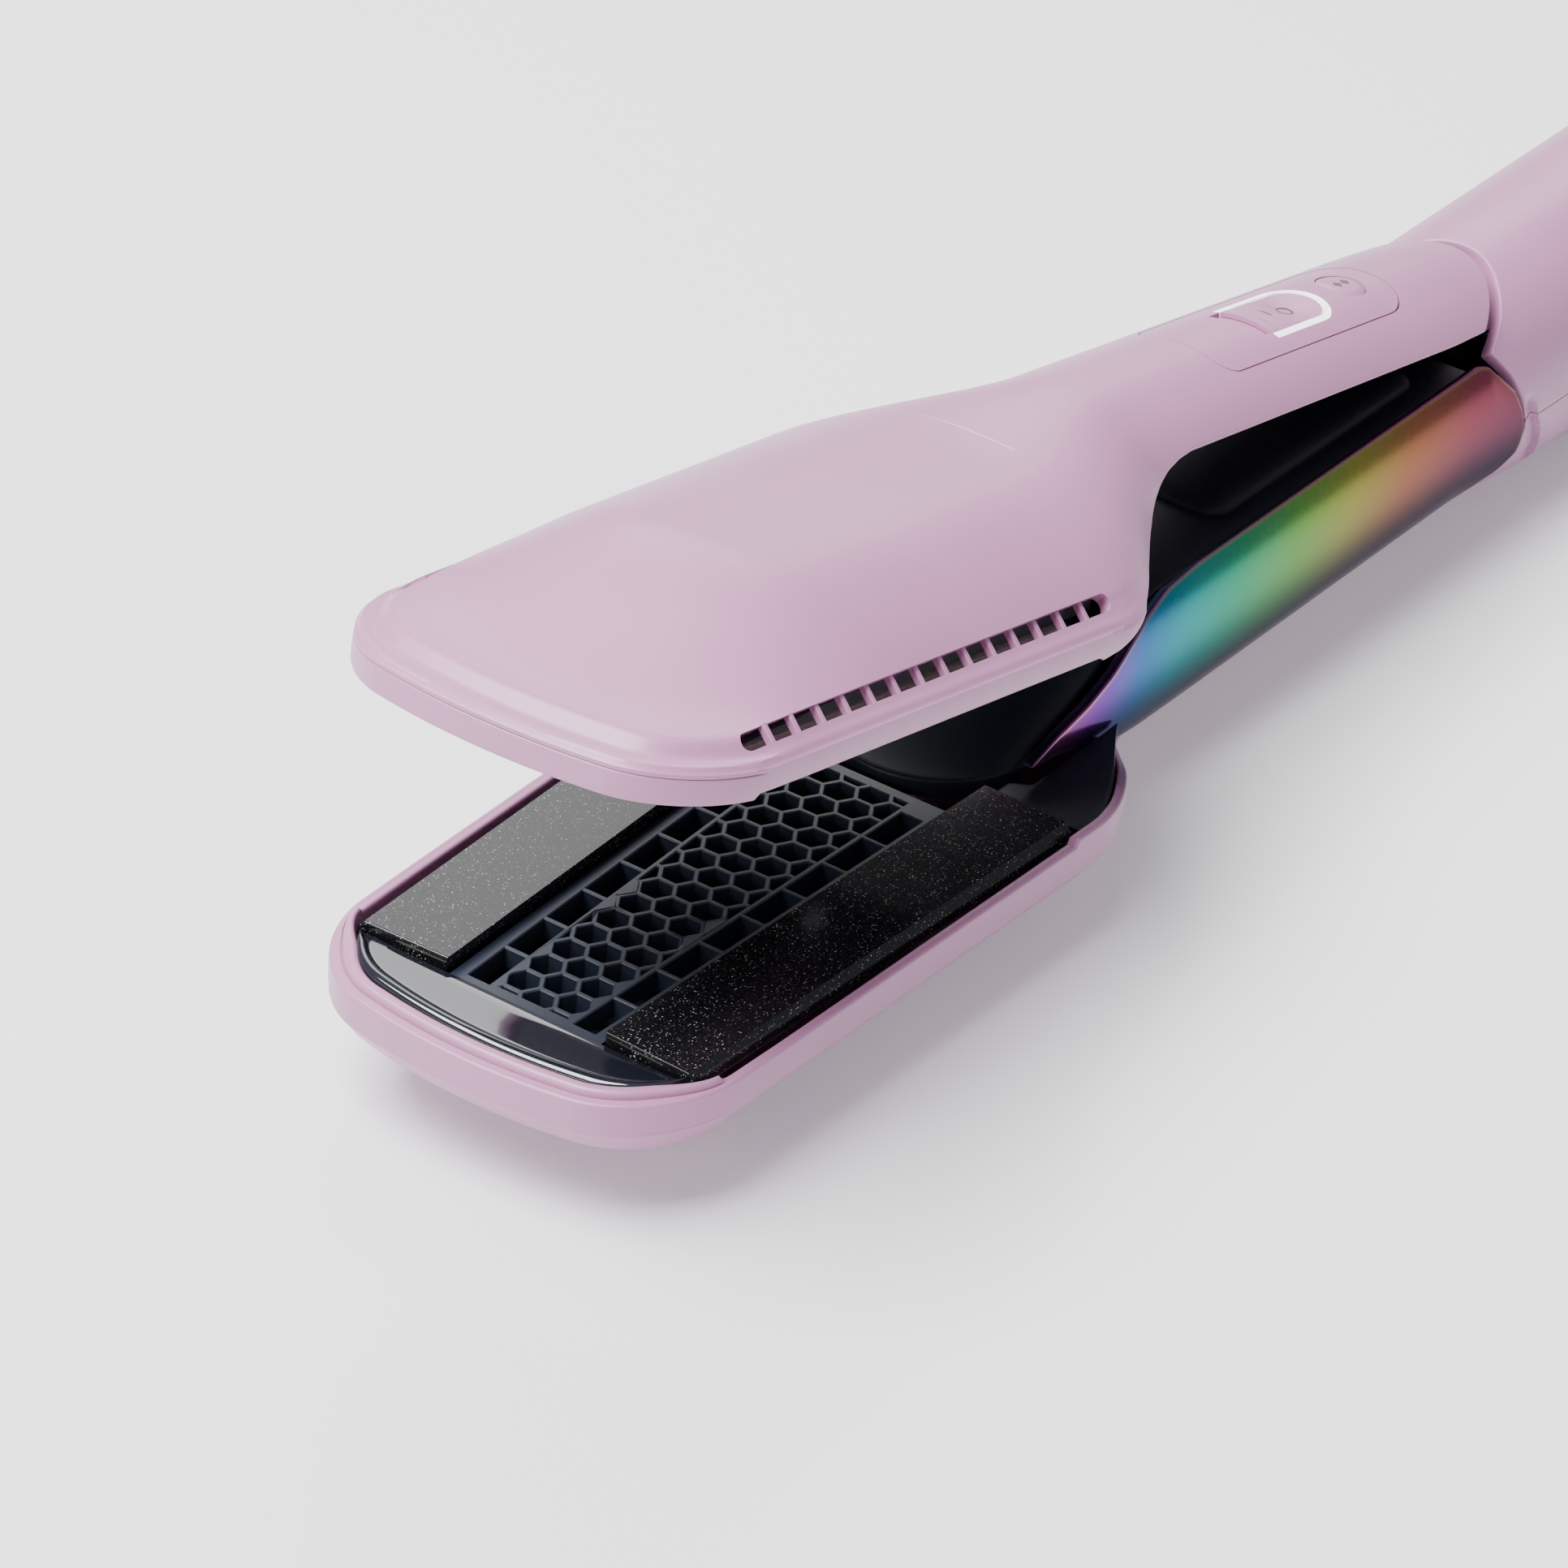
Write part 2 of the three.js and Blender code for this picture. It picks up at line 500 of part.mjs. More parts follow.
// inner cover of the upper arm: a strip along the neck, and a tongue down to the hinge knuckle
const linerSide = [[124.6, LINER_Z], [199, LINER_Z], [205, 13.4], [213, 12.4], [219.4, 8], [219.4, 4.6],
  [222, 2.4], [228, 2.4], [230.4, 4.6], [230.4, 9.4], [228, 11.6], [222, 12.6], [212, 14.4], [203, 15.5],
  [124.6, 15.5]];
const pinHole = toSolid(rod(PIN_HOLE, 60, 20, 'y', HINGE.x, 0, HINGE.z));
const linerStrip = prismSolid([[124.6, LINER_Z], [199, LINER_Z], [199, 15.5], [124.6, 15.5]], -9, 9);
const linerTongue = prismSolid(linerSide, -KNUCKLE_HALF, KNUCKLE_HALF);
const liner = linerStrip.add(linerTongue).subtract(pinHole);
place(upperArm, 'upper_inner_cover', toGeometry(liner), MATERIAL.slate);

const bracket = blockSolid(219, 231, -13, 13, -3.4, -1.6)
  .add(blockSolid(219, 231, -13, -11.4, -2, 10))
  .add(blockSolid(219, 231, 11.4, 13, -2, 10))
  .subtract(pinHole);
place(lowerArm, 'hinge_bracket', toGeometry(bracket), MATERIAL.metal);
place(lowerArm, 'hinge_pin', rod(PIN_RADIUS, 27.6, 20, 'y', HINGE.x, 0, HINGE.z), MATERIAL.metal);

class Coil extends THREE.Curve {
  constructor(radius, turns, y0, y1) {
    super();
    Object.assign(this, { radius, turns, y0, y1 });
  }

  getPoint(t, target = new THREE.Vector3()) {
    const angle = t * this.turns * 2 * Math.PI;
    const [out, up] = [this.radius * Math.cos(angle), this.radius * Math.sin(angle)];
    return target.set(HINGE.x + out, mix(this.y0, this.y1, t), HINGE.z + up);
  }
}
const wire = new THREE.Shape(polygon(0, 0, 0.45, 5).map(([x, y]) => new THREE.Vector2(x, y)));
const TURNS = 3.5;
place(lowerArm, 'hinge_spring', new THREE.ExtrudeGeometry(wire, {
  steps: Math.round(TURNS * 11), bevelEnabled: false, extrudePath: new Coil(3.3, TURNS, 6.9, 10.6),
}), MATERIAL.metal);

// ---------- control panel, slide switch, light ring and button in the upper neck ----------
const SWITCH_CENTRE_X = 173;    // centre of the light ring's rear arc
const RING_OUTER = 5.8;
const RING_INNER = 4.7;
const SWITCH_FRONT = 159.5;
const SWITCH_TRAVEL = 3;
const BUTTON_X = 186.4;
const BUTTON_RADIUS = 3.7;

// rear half circle joined to two legs that run forward to x0
function stadiumFront(x0, half, steps = 10) {
  const arc = count(steps + 1, (i) => {
    const angle = -Math.PI / 2 + (i / steps) * Math.PI;
    return [SWITCH_CENTRE_X + half * Math.cos(angle), half * Math.sin(angle)];
  });
  return [[x0, -half], ...arc, [x0, half]];
}
const tall = (outline, z0 = 12) => toSolid(slab(outline, z0, 30));
const panelRoom = tall(stadiumFront(SWITCH_FRONT, RING_OUTER + 0.25))
  .add(tall(roundedOutline(SWITCH_FRONT - SWITCH_TRAVEL - 0.8, SWITCH_FRONT + 3, RING_INNER + 0.2, 1, 0)));
const panelBlank = tall(roundedOutline(PANEL_FRONT, PANEL_REAR, PANEL_HALF, PANEL_CORNER, -0.1));
const controlPanel = hull.intersect(panelBlank)
  .subtract(panelRoom).subtract(tall(polygon(BUTTON_X, 0, BUTTON_RADIUS + 0.3, 20)));
place(upperArm, 'control_panel', toGeometry(controlPanel), MATERIAL.pink);

const lightRing = tall(stadiumFront(SWITCH_FRONT + 0.3, RING_OUTER), 17)
  .subtract(tall(stadiumFront(100, RING_INNER)))
  .intersect(closedForm);
place(upperArm, 'light_ring', toGeometry(lightRing), MATERIAL.light);

const slide = tall(stadiumFront(SWITCH_FRONT, RING_INNER - 0.35), 17.2).intersect(neckTube(0.5, 150, 190));
place(upperArm, 'slide_switch', toGeometry(slide), MATERIAL.pink);
const cap = tall(polygon(BUTTON_X, 0, BUTTON_RADIUS, 20), 17.6).intersect(neckTube(0.35, 170, 200));
place(upperArm, 'mode_button', toGeometry(cap), MATERIAL.pink);
place(upperArm, 'control_board', block(146, 193, -7, 7, 15.8, 16.6), MATERIAL.board);

// ---------- air heater, boards and fan in the neck and barrel ----------
let heaterCore = blockSolid(138, 178, -10.4, 10.4, -8.4, 7.6);
[-6.6, 0, 6.6].forEach((y) => [-5.3, -0.4, 4.5].forEach((z) => {
  heaterCore = heaterCore.subtract(blockSolid(130, 190, y - 2.8, y + 2.8, z - 2, z + 2));
}));
place(lowerArm, 'air_heater_core', toGeometry(heaterCore), MATERIAL.heater);
place(lowerArm, 'main_board', block(184, 230, -10.5, 10.5, -9.6, -8.2), MATERIAL.board);
place(lowerArm, 'board_capacitor', rod(3.4, 13, 16, 'x', 204, -4.6, -4.4), MATERIAL.gloss);
place(lowerArm, 'board_relay', block(196, 212, 2.4, 9.4, -7.9, 0.6), MATERIAL.gloss);

const BARREL_Z = neckZ(300);
const MOTOR = { x0: 239, x1: 261, radius: 13 };
const tube = (x0, x1, outer, inner, sides) =>
  turned([[x0, inner], [x1, inner], [x1, outer], [x0, outer]], sides, BARREL_Z);
const tubeSolid = (...args) => toSolid(tube(...args));
place(lowerArm, 'motor_body', tube(MOTOR.x0, MOTOR.x1, MOTOR.radius, 2, 24), MATERIAL.metal);
place(lowerArm, 'motor_mount_ring', tube(243, 256, 16.4, MOTOR.radius + 0.3, 24), MATERIAL.rubber);
place(lowerArm, 'rotor_shaft', rod(1.6, 40, 14, 'x', 256.5, 0, BARREL_Z), MATERIAL.metal);

// `n` copies of a piece spaced evenly round the barrel's axis
const around = (n, make, offset = 0) => count(n, (i) =>
  toSolid(make().rotateX(((i + offset) / n) * 2 * Math.PI).translate(0, 0, BARREL_Z)));

const BLADES = 9;
function impeller() {
  const blades = around(BLADES, () => block(265, 274, -0.45, 0.45, 4.4, 14));
  return blades.reduce((sum, blade) => sum.add(blade), tubeSolid(264, 275, 4.8, 1.9, 18));
}
place(lowerArm, 'impeller', toGeometry(impeller()), MATERIAL.slate);
place(lowerArm, 'fan_shroud', tube(263, 277, 16.4, 15, 28), MATERIAL.slate);

const VANES = 6;
function stator() {
  const rings = tubeSolid(232.4, 237, 15.6, 14.4, 24).add(tubeSolid(232.4, 237, 5, 2.6, 16));
  const vanes = around(VANES, () => block(232.4, 237, -0.5, 0.5, 4.6, 14.8));
  return vanes.reduce((sum, vane) => sum.add(vane), rings);
}
place(lowerArm, 'air_straightener', toGeometry(stator()), MATERIAL.slate);

// rear: fixed cap with a hollow spindle, filter sleeve, slotted cover that pulls off, swivelling cord gland
const COVER_FROM = BARREL_END + 0.4;
const COVER_TO = 300.6;
const aboveRest = blockSolid(200, 400, -60, 60, REST_Z, 60);
const rearCap = [[280, 4.6], [303, 4.6], [303, 17.2], [300.9, 17.2], [300.9, 7], [280, 7]];
place(lowerArm, 'rear_cap', turned(rearCap, 32, BARREL_Z), MATERIAL.slate);
place(lowerArm, 'filter_mesh', tube(282, 300.4, 17, 16.2, 32), MATERIAL.metal);

const SLOTS = 18;
function filterCover() {
  const slots = around(SLOTS, () => block(COVER_FROM + 3.4, COVER_TO - 3.4, -1.3, 1.3, 15, 24), 0.5);
  return slots.reduce((rest, slot) => rest.subtract(slot),
    tubeSolid(COVER_FROM, COVER_TO, 20.1, 18, 36).intersect(aboveRest));
}
place(lowerArm, 'filter_cover', toGeometry(filterCover()), MATERIAL.pink);
const GLAND_BORE = 2.6;
const gland = [[277.5, GLAND_BORE], [END_X, GLAND_BORE], [END_X, 4.6], [305.2, 6.2], [303.5, 6.2],
  [303.5, 4.2], [279.5, 4.2], [279.5, 6], [277.5, 6]];
place(lowerArm, 'cord_gland', turned(gland, 24, BARREL_Z), MATERIAL.rubber);

// ---------- assembly ----------
upperArm.children.forEach((mesh) => mesh.geometry.translate(-HINGE.x, 0, -HINGE.z));
upperArm.position.set(HINGE.x, 0, HINGE.z);
upperArm.rotation.y = OPEN_ANGLE;

const flatIron = new THREE.Group();
flatIron.add(lowerArm, upperArm);
flatIron.position.set(-CENTRE_X, 0, -REST_Z);
export default flatIron;
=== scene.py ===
"""Looks of a wide wet-to-dry flat iron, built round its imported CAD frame.

Shapes are worked out in millimetres in the closed frame: X = 0 at the front edge of the heated plates,
Z = 0 where the two arms meet. to_row() opens the upper arm and moves everything into the row frame.
"""
import math

import bmesh
import bpy
import numpy as np
from mathutils import Matrix, Vector


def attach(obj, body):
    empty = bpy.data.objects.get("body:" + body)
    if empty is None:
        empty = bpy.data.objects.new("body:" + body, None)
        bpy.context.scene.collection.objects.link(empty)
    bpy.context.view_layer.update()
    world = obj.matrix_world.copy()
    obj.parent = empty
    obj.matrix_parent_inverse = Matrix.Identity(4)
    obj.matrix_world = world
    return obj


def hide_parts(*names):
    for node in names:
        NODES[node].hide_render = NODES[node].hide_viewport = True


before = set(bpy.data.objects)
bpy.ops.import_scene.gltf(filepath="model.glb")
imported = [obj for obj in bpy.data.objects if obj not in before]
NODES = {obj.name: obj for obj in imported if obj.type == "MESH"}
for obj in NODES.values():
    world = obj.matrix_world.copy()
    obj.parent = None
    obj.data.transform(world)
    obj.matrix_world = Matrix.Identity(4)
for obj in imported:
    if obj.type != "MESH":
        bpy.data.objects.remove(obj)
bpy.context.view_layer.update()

# ---------- driving dimensions, as in the CAD ----------
MM = 0.001
ROW_SHIFT = np.array([-145.9, 0.0, 19.7])
TIP_X = -15.2
FRONT_RADIUS = 82.0
CORNER_RADIUS = 13.0
REST_Z = -19.7
WALL_TOP, WALL_FOOT = 4.4, -6.0
WALL = 1.8
NECK_START, NECK_FULL = 82.0, 117.0
HINGE_X, HINGE_Z = 225.0, 7.0
OPEN_ANGLE = math.radians(10.15)
BARREL_END = 281.0
FAN_X = 14.0                  # the ribs of the paddle's front fan out from this point of the middle line
SLOT_FRONT, SLOT_REAR = 1.5, 81.0
WINDOWS = 15
WALL_POINTS = 130             # points of a dense half section on the paddle's upright wall
INNER_POINTS = 14             # points of a finished rib on the shell's inner face
PLATE_FRONT = -0.9
PARTING_X, PARTING_DEPTH = 90.0, 0.22


# ---------- small helpers ----------
def smooth(a, b, x):
    t = np.clip((np.asarray(x, float) - a) / (b - a), 0, 1)
    return t * t * (3 - 2 * t)


def mix(a, b, t):
    return a + (b - a) * t


def to_row(points, upper):
    p = np.array(points, float).reshape(-1, 3)
    if upper:
        dx, dz = p[:, 0] - HINGE_X, p[:, 2] - HINGE_Z
        c, s = math.cos(OPEN_ANGLE), math.sin(OPEN_ANGLE)
        p[:, 0] = HINGE_X + dx * c + dz * s
        p[:, 2] = HINGE_Z - dx * s + dz * c
    return (p + ROW_SHIFT) * MM


def finish_mesh(mesh, angle=35):
    mesh.polygons.foreach_set("use_smooth", [True] * len(mesh.polygons))
    mesh.set_sharp_from_angle(angle=math.radians(angle))


def new_piece(name, points, faces, upper=False, angle=35, weld=True, fill=True):
    """A mesh object from points in the closed frame. Equal points are joined and open ends are closed."""
    mesh = bpy.data.meshes.new(name)
    mesh.from_pydata(to_row(points, upper).tolist(), [], [list(f) for f in faces])
    bm = bmesh.new()
    bm.from_mesh(mesh)
    if weld:
        bmesh.ops.remove_doubles(bm, verts=bm.verts, dist=2e-6)
    if fill:
        bmesh.ops.holes_fill(bm, edges=[e for e in bm.edges if e.is_boundary], sides=0)
    bmesh.ops.recalc_face_normals(bm, faces=bm.faces)
    bm.to_mesh(mesh)
    bm.free()
    finish_mesh(mesh, angle)
    obj = bpy.data.objects.new(name, mesh)
    bpy.context.scene.collection.objects.link(obj)
    return obj


def grid_faces(rows, cols, closed=False, looped=False, start=0):
    """Faces between rows of points. `closed` joins each row's ends, `looped` the last row to the first."""
    return [(start + i * cols + j, start + (i + 1) % rows * cols + j,
             start + (i + 1) % rows * cols + (j + 1) % cols, start + i * cols + (j + 1) % cols)
            for i in range(rows if looped else rows - 1) for j in range(cols if closed else cols - 1)]


def edge_drop(distance, radius):
    """How far a round edge lies below the face, at a distance from the outline."""
    return radius - np.sqrt(np.maximum(radius ** 2 - np.maximum(radius - distance, 0) ** 2, 0))


def loft(name, rows, closed=True, looped=False, **options):
    """A piece through rows of points."""
    rows = np.array(rows)
    return new_piece(name, rows.reshape(-1, 3), grid_faces(*rows.shape[:2], closed, looped), **options)


def slab(name, top, bottom, **options):
    """A piece between two grids of points, one over the other."""
    top, bottom = np.array(top), np.array(bottom)
    rows, cols = top.shape[:2]
    n = rows * cols
    border = ([i * cols for i in range(rows)] + [(rows - 1) * cols + j for j in range(1, cols)]
              + [i * cols + cols - 1 for i in range(rows - 2, -1, -1)] + list(range(cols - 2, 0, -1)))
    faces = grid_faces(rows, cols) + [face[::-1] for face in grid_faces(rows, cols, start=n)]
    faces += [(a, b, b + n, a + n) for a, b in zip(border, border[1:] + border[:1])]
    points = np.concatenate([top.reshape(-1, 3), bottom.reshape(-1, 3)])
    return new_piece(name, points, faces, weld=False, fill=False, **options)


def solids(name, stacks, upper=False):
    """A piece of one or more solids; each is a stack of rings of equally many points."""
    points, faces = [], []
    for rings in stacks:
        start, n = len(points), len(rings[0])
        points += [point for ring in rings for point in ring]
        faces += grid_faces(len(rings), n, closed=True, start=start)
        faces += [tuple(range(start, start + n)), tuple(range(len(points) - n, len(points)))]
    return new_piece(name, points, faces, upper=upper, weld=False, fill=False)


def install(obj, material, body, slot, *nodes):
    obj.data.materials.clear()
    obj.data.materials.append(material)
    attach(obj, body)
    if nodes:
        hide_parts(*nodes)


def boolean(obj, cutter, operation="DIFFERENCE", angle=35):
    """Cuts a piece for good and removes the cutter."""
    modifier = obj.modifiers.new("cut", "BOOLEAN")
    modifier.operation = operation
    modifier.object = cutter
    modifier.solver = "EXACT"
    depsgraph = bpy.context.evaluated_depsgraph_get()
    spent = (obj.data, cutter.data)
    obj.data = bpy.data.meshes.new_from_object(obj.evaluated_get(depsgraph))
    obj.modifiers.clear()
    finish_mesh(obj.data, angle)
    bpy.data.objects.remove(cutter)
    for mesh in spent:
        bpy.data.meshes.remove(mesh)
    return obj


# ---------- outer form of the closed iron ----------
def side_line(x):
    return 30.3 + 0.027 * x


def edge_distance(x, y):
    x, y = np.asarray(x, float), np.asarray(y, float)
    centre = TIP_X + FRONT_RADIUS
    front = np.where(x < centre, FRONT_RADIUS - np.hypot(x - centre, y), FRONT_RADIUS - np.abs(y))
    side = side_line(x) - np.abs(y)
    corner = CORNER_RADIUS - np.hypot(CORNER_RADIUS - front, CORNER_RADIUS - side)
    in_corner = (front < CORNER_RADIUS) & (side < CORNER_RADIUS)
    return np.where(in_corner, corner, np.minimum(front, side)), front


def paddle_top(x, y):
    edge, front = edge_distance(x, y)
    ledge = mix(3.0, 1.0, smooth(-6, 10, x))
    across = np.minimum(np.abs(y) / (side_line(x) - ledge - 1.8), 1)
    crown = 10.74 * (1 - across ** 2.6) * smooth(5, 43, front)
    crown = crown - PARTING_DEPTH * np.exp(-((x - PARTING_X) / 0.15) ** 2) * (1 - smooth(4, 14, np.abs(y)))
    return WALL_TOP + 0.9 * smooth(0, 0.9, edge) + 2 * smooth(ledge - 0.4, ledge + 2.4, edge) + crown


def paddle_bottom(x, y):
    edge, front = edge_distance(x, y)
    across = np.minimum(np.abs(y) / (side_line(x) - 2.5), 1)
    belly = 11 * (1 - across ** 2.4) * smooth(3, 43, front)
    z = WALL_FOOT - 0.9 * smooth(0, 1, edge) - 2.5 * smooth(0.5, 3, edge) - belly
    return np.maximum(z, REST_Z)


def neck_radius(x):
    return 18.4 + 0.8 * smooth(200, 232, x) + 0.9 * smooth(232, 258, x)


def neck_z(x):
    return 1.9 - 1.6 * smooth(200, 232, x) - 1.3 * smooth(232, 258, x)


def along(line, x):
    """Height of an (x, z) line at x."""
    return float(np.interp(x, [p[0] for p in line], [p[1] for p in line]))


UPPER_EDGE = [(-40, 0.2), (1.5, 0.2), (2.3, 1.1), (76.5, 1.1), (77.5, 0.5), (81, 1.1), (85, 2.8), (90.5, 5.1),
              (97, 6.7), (106.5, 8.3), (112.6, 10.4), (117.5, 12.2), (121, 12.95), (124.5, 13.3), (400, 13.3)]
LOWER_EDGE = [(-40, -0.2), (1.5, -0.2), (2.3, -1.1), (76.5, -1.1), (77.3, -0.2), (86, -0.2), (93, -0.9),
              (99, -2.6), (105, -5.3), (111, -7.9), (118, -9.3), (130, -9.6), (206, -9.6), (213, -9.1),
              (215.6, -8.2), (216.7, -6.6), (217, -3.5), (217.2, -0.1), (218.4, -0.03), (400, -0.03)]
PANEL_TOP = [(86.3, 0.75), (86.8, 1.2), (92, 2.9), (99.5, 4.4), (106, 6.4), (111, 8.6), (116, 10.6),
             (122, 12), (130, 12.5), (206, 12.5), (209, 11.3), (212.2, 7.8), (214.6, 3), (216, -1.8),
             (216.4, -5.2)]
PANEL_LOW = [(86.3, 0.65), (88, 0.1), (91.6, -0.2), (98, -1.9), (105, -4.6), (111, -7.2), (118, -8.7),
             (130, -9.2), (206, -9.2), (213, -8.2), (216.4, -5.4)]
COLLAR = [(208.4, 12.7), (214.6, 10.6), (218.2, 4.6), (219.4, 0.2), (225.9, -10.8), (228, -14)]


def collar_x(z):
    """Rear edge of the recessed collar round the side panels' rear ends."""
    return np.interp(-np.asarray(z, float), [-p[1] for p in COLLAR], [p[0] for p in COLLAR])


def plan_outline():
    """Points of the paddle's outline from the near side round the front to the far side, with normals."""
    centre = TIP_X + FRONT_RADIUS
    corner = []
    for t in np.linspace(0, math.pi / 2, 36):
        side = CORNER_RADIUS * (1 - math.cos(t))
        front = CORNER_RADIUS * (1 - math.sin(t))
        x = 0.0
        for _ in range(12):
            y = side_line(x) - side
            x = centre - math.sqrt((FRONT_RADIUS - front) ** 2 - y * y)
        corner.append((x, y))
    half = [(x, side_line(x)) for x in np.linspace(FAN_X - 0.9, corner[0][0] + 0.4, 18)] + corner
    y_start = half[-1][1]
    for y in np.linspace(y_start, 0, 20)[1:]:
        half.append((centre - math.sqrt(FRONT_RADIUS ** 2 - y * y), y))
    near = [(x, -y) for x, y in half]
    points = np.array(near + half[::-1][1:])
    tangent = np.gradient(points, axis=0)
    normal = np.stack([tangent[:, 1], -tangent[:, 0]], 1)
    normal /= np.linalg.norm(normal, axis=1)[:, None]
    outwards = np.sign((normal * (points - [FAN_X, 0])).sum(1))
    return points, normal * outwards[:, None]


def bulge(z):
    """How far the paddle's side wall swells outwards at a height."""
    low = 0.3 * np.sin(np.pi * np.clip(1 - z / WALL_FOOT, 0, 1))
    return np.where(z < 0, low, 0.345 * np.sin(np.pi * np.clip(z / 5, 0, 1)))


def half_section(x, upper, reach=None, direction=None):
    """Dense half section from the parting plane to the middle line: outward distances, and heights. In the
    paddle's front it lies in the upright plane from the fan point towards `direction`, `reach` long."""
    s = np.linspace(0, 1, 420)
    z_wall = np.linspace(0, WALL_TOP if upper else WALL_FOOT, WALL_POINTS)
    if reach is not None:
        ahead = abs(direction[0])
        reach = reach - 0.08 * ahead
        out = reach * (1 - s)
        px, py = FAN_X + out * direction[0], out * direction[1]
        z_top = paddle_top(px, py) if upper else paddle_bottom(px, py)
        wall = reach + bulge(z_wall) * (1 - ahead)
        return np.concatenate([wall, out[1:]]), np.concatenate([z_wall, z_top[1:]])
    t = float(smooth(NECK_START, NECK_FULL, x))
    r, zc = float(neck_radius(x)), float(neck_z(x))
    w = side_line(min(x, 100))
    y_pad = w * (1 - s)
    turn = np.arcsin(np.clip(y_pad / w, 0, 1)) / (math.pi / 2)
    angle = mix(math.pi / 2 if upper else -math.pi / 2, math.asin((z_wall[-1] - zc) / r), turn)
    z_pad = paddle_top(x, y_pad) if upper else paddle_bottom(x, y_pad)
    y = mix(y_pad, r * np.cos(angle), t)
    z = mix(z_pad, zc + r * np.sin(angle), t)
    wall_y = mix(w + bulge(z_wall), np.sqrt(r * r - (z_wall - zc) ** 2), t)
    return np.concatenate([wall_y, y[1:]]), np.concatenate([z_wall, np.maximum(z[1:], REST_Z)])


def shell_rib(out, z, edge_z, upper, rim, samples, steady):
    """One closed-over rib: inner face from the middle line to the rim, the rim, and the outer face back.
    With steady = 1 the rows of the outer face keep their height where the rim steps up or down."""
    sign = 1 if upper else -1
    past = np.nonzero((z - edge_z) * sign > 0)[0][0]
    k = (edge_z - z[past - 1]) / (z[past] - z[past - 1]) if past > 0 else 0
    if past > 0:
        first = mix(np.array([out[past - 1], z[past - 1]]), np.array([out[past], z[past]]), k)
        line = np.vstack([first, np.stack([out[past:], z[past:]], 1)])
    else:
        line = np.stack([out, z], 1)
    line = line[np.append(True, np.hypot(*np.diff(line, axis=0).T) > 1e-7)]
    s = np.concatenate([[0], np.cumsum(np.hypot(*np.diff(line, axis=0).T))])
    total = s[-1]

    def at(where):
        return np.stack([np.interp(where, s, line[:, 0]), np.interp(where, s, line[:, 1])], 1)

    def inward(where, width):
        tangent = at(np.minimum(where + width, total)) - at(np.maximum(where - width, 0))
        tangent /= np.linalg.norm(tangent, axis=1)[:, None]
        return sign * np.stack([-tangent[:, 1], tangent[:, 0]], 1)

    down = at(np.array([0.8]))[0] - at(np.array([0.0]))[0]
    down /= np.linalg.norm(down)
    side = sign * np.array([-down[1], down[0]])
    rim_points = line[0] + rim[:, :1] * side + rim[:, 1:] * down
    start = rim[-1, 1]
    scale = min(1.0, total * 0.55 / samples[-1])
    near = (np.array(samples) - abs(edge_z) * steady) * scale
    near = near[near > start + 0.05]
    far = np.linspace(near[-1], total, 16)[1:]
    missing = len(samples) - len(near)
    near = np.concatenate([np.linspace(start, near[0], missing + 2)[1:-1], near])
    outer = at(np.concatenate([near, far]))
    inner_s = np.linspace(min(4.2, total * 0.4), total, INNER_POINTS)[::-1]
    inner = at(inner_s) + inward(inner_s, 1.5) * WALL
    inner[0, 0] = 0.0
    outer[-1, 0] = 0.0
    return np.vstack([inner, rim_points, outer])


def shell_ribs(stations, upper, samples, rim_at, groove, last_x):
    """All ribs of a shell: near side from the rear, round the front, far side to the rear.
    `groove` is the height and depth of a fine line round the paddle's wall."""
    edge = UPPER_EDGE if upper else LOWER_EDGE

    def rib_of(section, x, lean, steady):
        out, z = section
        depth = groove[1] * (1 - smooth(1, 3.5, x)) * np.exp(-((z[:WALL_POINTS] - groove[0]) / 0.1) ** 2)
        out = np.concatenate([out[:WALL_POINTS] - depth, out[WALL_POINTS:]])
        return shell_rib(out, z, along(edge, x), upper, rim_at(x, lean), samples, steady)

    side = []
    for x in stations:
        rib = rib_of(half_section(x, upper), x, 1.0, 1 - float(smooth(77, 84, x)))
        points = np.stack([np.full(len(rib), x), -rib[:, 0], rib[:, 1]], 1)
        side.append(warp_rear(points, x, upper, last_x))
    front = []
    for (x, y), normal in zip(*plan_outline()):
        reach = math.hypot(x - FAN_X, y)
        direction = np.array([(x - FAN_X) / reach, y / reach])
        lean = max(0.3, float(direction @ normal))
        rib = rib_of(half_section(x, upper, reach, direction), x, lean, 1)
        front.append(np.stack([FAN_X + rib[:, 0] * direction[0], rib[:, 0] * direction[1], rib[:, 1]], 1))
    return np.array(side + front + [rib * [1, -1, 1] for rib in side[::-1]])


def arm_end_x(z):
    """The upper arm ends on a slanted plane."""
    return 208.6 + (z - 14.1) * 1.80


def warp_rear(points, x, upper, last_x):
    """The upper arm leans back to its slanted end, the lower one gets the collar."""
    if x < 190:
        return points
    if not upper:
        return sink_collar(points)
    p = points.copy()
    p[:, 0] = x + (arm_end_x(p[:, 2]) - last_x) * smooth(190, last_x, x)
    grow = neck_radius(p[:, 0]) / neck_radius(x)
    p[:, 1] *= grow
    p[:, 2] = neck_z(p[:, 0]) + (p[:, 2] - neck_z(x)) * grow
    return p


def collar_depth(x, z):
    """How far the collar round the panels' rear ends lies below the skin: deepest at its rear edge."""
    ahead = collar_x(z) - x
    low = 1.05 * smooth(-0.2, 0.2, ahead) - 0.27 * np.clip(ahead, 0, 3.2)
    return low * smooth(206, 210, x) * (1 - smooth(9.5, 13, -z)) * (1 - smooth(2.0, 4.5, z))


